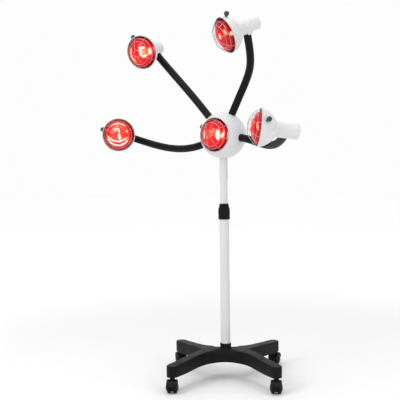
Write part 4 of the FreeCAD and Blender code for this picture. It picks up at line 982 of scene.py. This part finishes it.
def flutes(k, r, z, a):
    if r < 24.3 or z < 719.0 or z > 761.5:
        return 0.0
    fade = min((z - 719.0) / 4.0, (761.5 - z) / 3.0, 1.0)
    w = math.cos(a * 20.0)
    return -1.15 * fade * max(w, 0.0) ** 1.6


b = Build()
profile = rounded([(21.75, 713.2), (25.4, 713.2), (26.6, 714.6), (26.2, 718.0), (25.5, 722.0), (25.7, 730.0), (25.9, 740.0), (25.8, 750.0), (25.4, 758.0),
                   (25.0, 762.6), (23.6, 764.0), (21.75, 764.0)], [0, 1.4, 1.2, 2.0, 3.0, 4, 4, 4, 4, 1.2, 0.6, 0], 4)
b.lathe(profile, 240, 0, loop=True, wave=flutes)
grip = b.object("twist_grip", [clamp_black], sharp=45.0)
stands(grip, "grip", "base_black", "clamp_grip")


# ------------------------------------------------------------------ finishes of the CAD nodes that stay
stay = {
    "base_ballast": iron, "base_bolt": steel, "castor_stems": steel, "pole_plug": grey_plastic, "pole_bush": grey_plastic,
    "rear_cover": grey_plastic, "cover_screws": steel, "rocker_switch": clamp_black, "cable_gland": clamp_black, "terminal_block": ceramic,
}
for name in list(ARMS) + ["hub"]:
    stay["lampholder_" + name] = ceramic
for name, mat in stay.items():
    data = nodes[name].data
    if not data.materials:
        data.materials.append(mat)
    for i in range(len(nodes[name].material_slots)):
        nodes[name].material_slots[i].link = "OBJECT"
        nodes[name].material_slots[i].material = mat
    data.polygons.foreach_set("use_smooth", [True] * len(data.polygons))
    data.set_sharp_from_angle(angle=math.radians(30.0))


# ------------------------------------------------------------------ floor, light and camera
def floor_material():
    mat, tree, b = new_material("pale_floor")
    v = coords(tree)
    n = noise(tree, v, 1.2, 3.0, 0.5)
    tree.links.new(ramp(tree, n, [(0.3, (0.87, 0.87, 0.872)), (0.7, (0.89, 0.89, 0.892))]), b.inputs["Base Color"])
    tree.links.new(n.ease(0.3, 0.7, 0.75, 0.85).out, b.inputs["Roughness"])
    b.inputs["Specular IOR Level"].default_value = 0.1
    sep = tree.nodes.new("ShaderNodeSeparateXYZ")
    tree.links.new(v, sep.inputs[0])
    x, y = Num(tree, sep.outputs[0]), Num(tree, sep.outputs[1])
    b.inputs["Emission Color"].default_value = (1.0, 1.0, 1.0, 1.0)
    tree.links.new((x * x + y * y).root().ease(0.9, 3.2, 0.0, 0.26).out, b.inputs["Emission Strength"])
    return mat


b = Build()
b.lathe([(0.0, -12.0), (14000.0, -12.0), (14000.0, 0.0), (9000.0, 0.0), (4000.0, 0.0), (1500.0, 0.0), (0.0, 0.0)], 96, 0)
floor = b.object("studio_floor", [floor_material()])

world = bpy.data.worlds.new("studio")
scene.world = world
world.use_nodes = True
tree = world.node_tree
back = tree.nodes["Background"]
tc = tree.nodes.new("ShaderNodeTexCoord")


def toward(direction, a, z, lo, hi):
    dot = tree.nodes.new("ShaderNodeVectorMath")
    dot.operation = "DOT_PRODUCT"
    dot.inputs[1].default_value = Vector(direction).normalized()
    tree.links.new(tc.outputs["Generated"], dot.inputs[0])
    return Num(tree, dot.outputs["Value"]).ease(a, z, lo, hi)


level = toward((-0.02, 1, 0.0), 0.4, 0.88, 0.0, 0.68) + toward((-0.15, -0.1, 1.0), 0.1, 1.0, 0.30, 0.95)
tree.links.new(level.out, back.inputs["Strength"])
back.inputs["Color"].default_value = (1.0, 1.0, 1.0, 1.0)


def area(name, spot, aim, size, size_y, energy):
    data = bpy.data.lights.new(name, "AREA")
    data.shape = "RECTANGLE"
    data.size, data.size_y, data.energy = size, size_y, energy
    ob = bpy.data.objects.new(name, data)
    scene.collection.objects.link(ob)
    ob.location = spot
    ob.rotation_mode = "QUATERNION"
    ob.rotation_quaternion = (Vector(aim) - Vector(spot)).to_track_quat("-Z", "Y")
    return ob


area("key_panel", (-2.5, -2.2, 2.5), (0, 0, 0.95), 1.4, 2.0, 43.0)
area("top_panel", (0.1, -0.3, 3.3), (0, 0, 0.5), 2.2, 2.2, 19.0)
area("right_fill", (2.4, -2.2, 1.8), (0, 0, 0.9), 1.2, 2.0, 20.0)

cam = bpy.data.cameras.new("camera")
cam.sensor_width = 36.0
cam.lens = 798.23 * 36.0 / 400.0
cam.clip_start, cam.clip_end = 0.05, 100.0
pitch, yaw, roll = 0.0646, -0.0667, -0.0135
fwd = Vector((math.sin(yaw) * math.cos(pitch), math.cos(yaw) * math.cos(pitch), -math.sin(pitch)))
r0 = Vector((math.cos(yaw), -math.sin(yaw), 0.0))
u0 = r0.cross(fwd)
right = r0 * math.cos(roll) + u0 * math.sin(roll)
upv = u0 * math.cos(roll) - r0 * math.sin(roll)
cam_ob = bpy.data.objects.new("camera", cam)
scene.collection.objects.link(cam_ob)
m = Matrix((right, upv, -fwd)).transposed().to_4x4()
m.translation = Vector((0.1292, -3.524, 1.0274))
cam_ob.matrix_world = m
scene.camera = cam_ob

scene.view_settings.view_transform = "Standard"
scene.view_settings.look = "None"
scene.view_settings.exposure = 0.0
scene.view_settings.gamma = 1.0
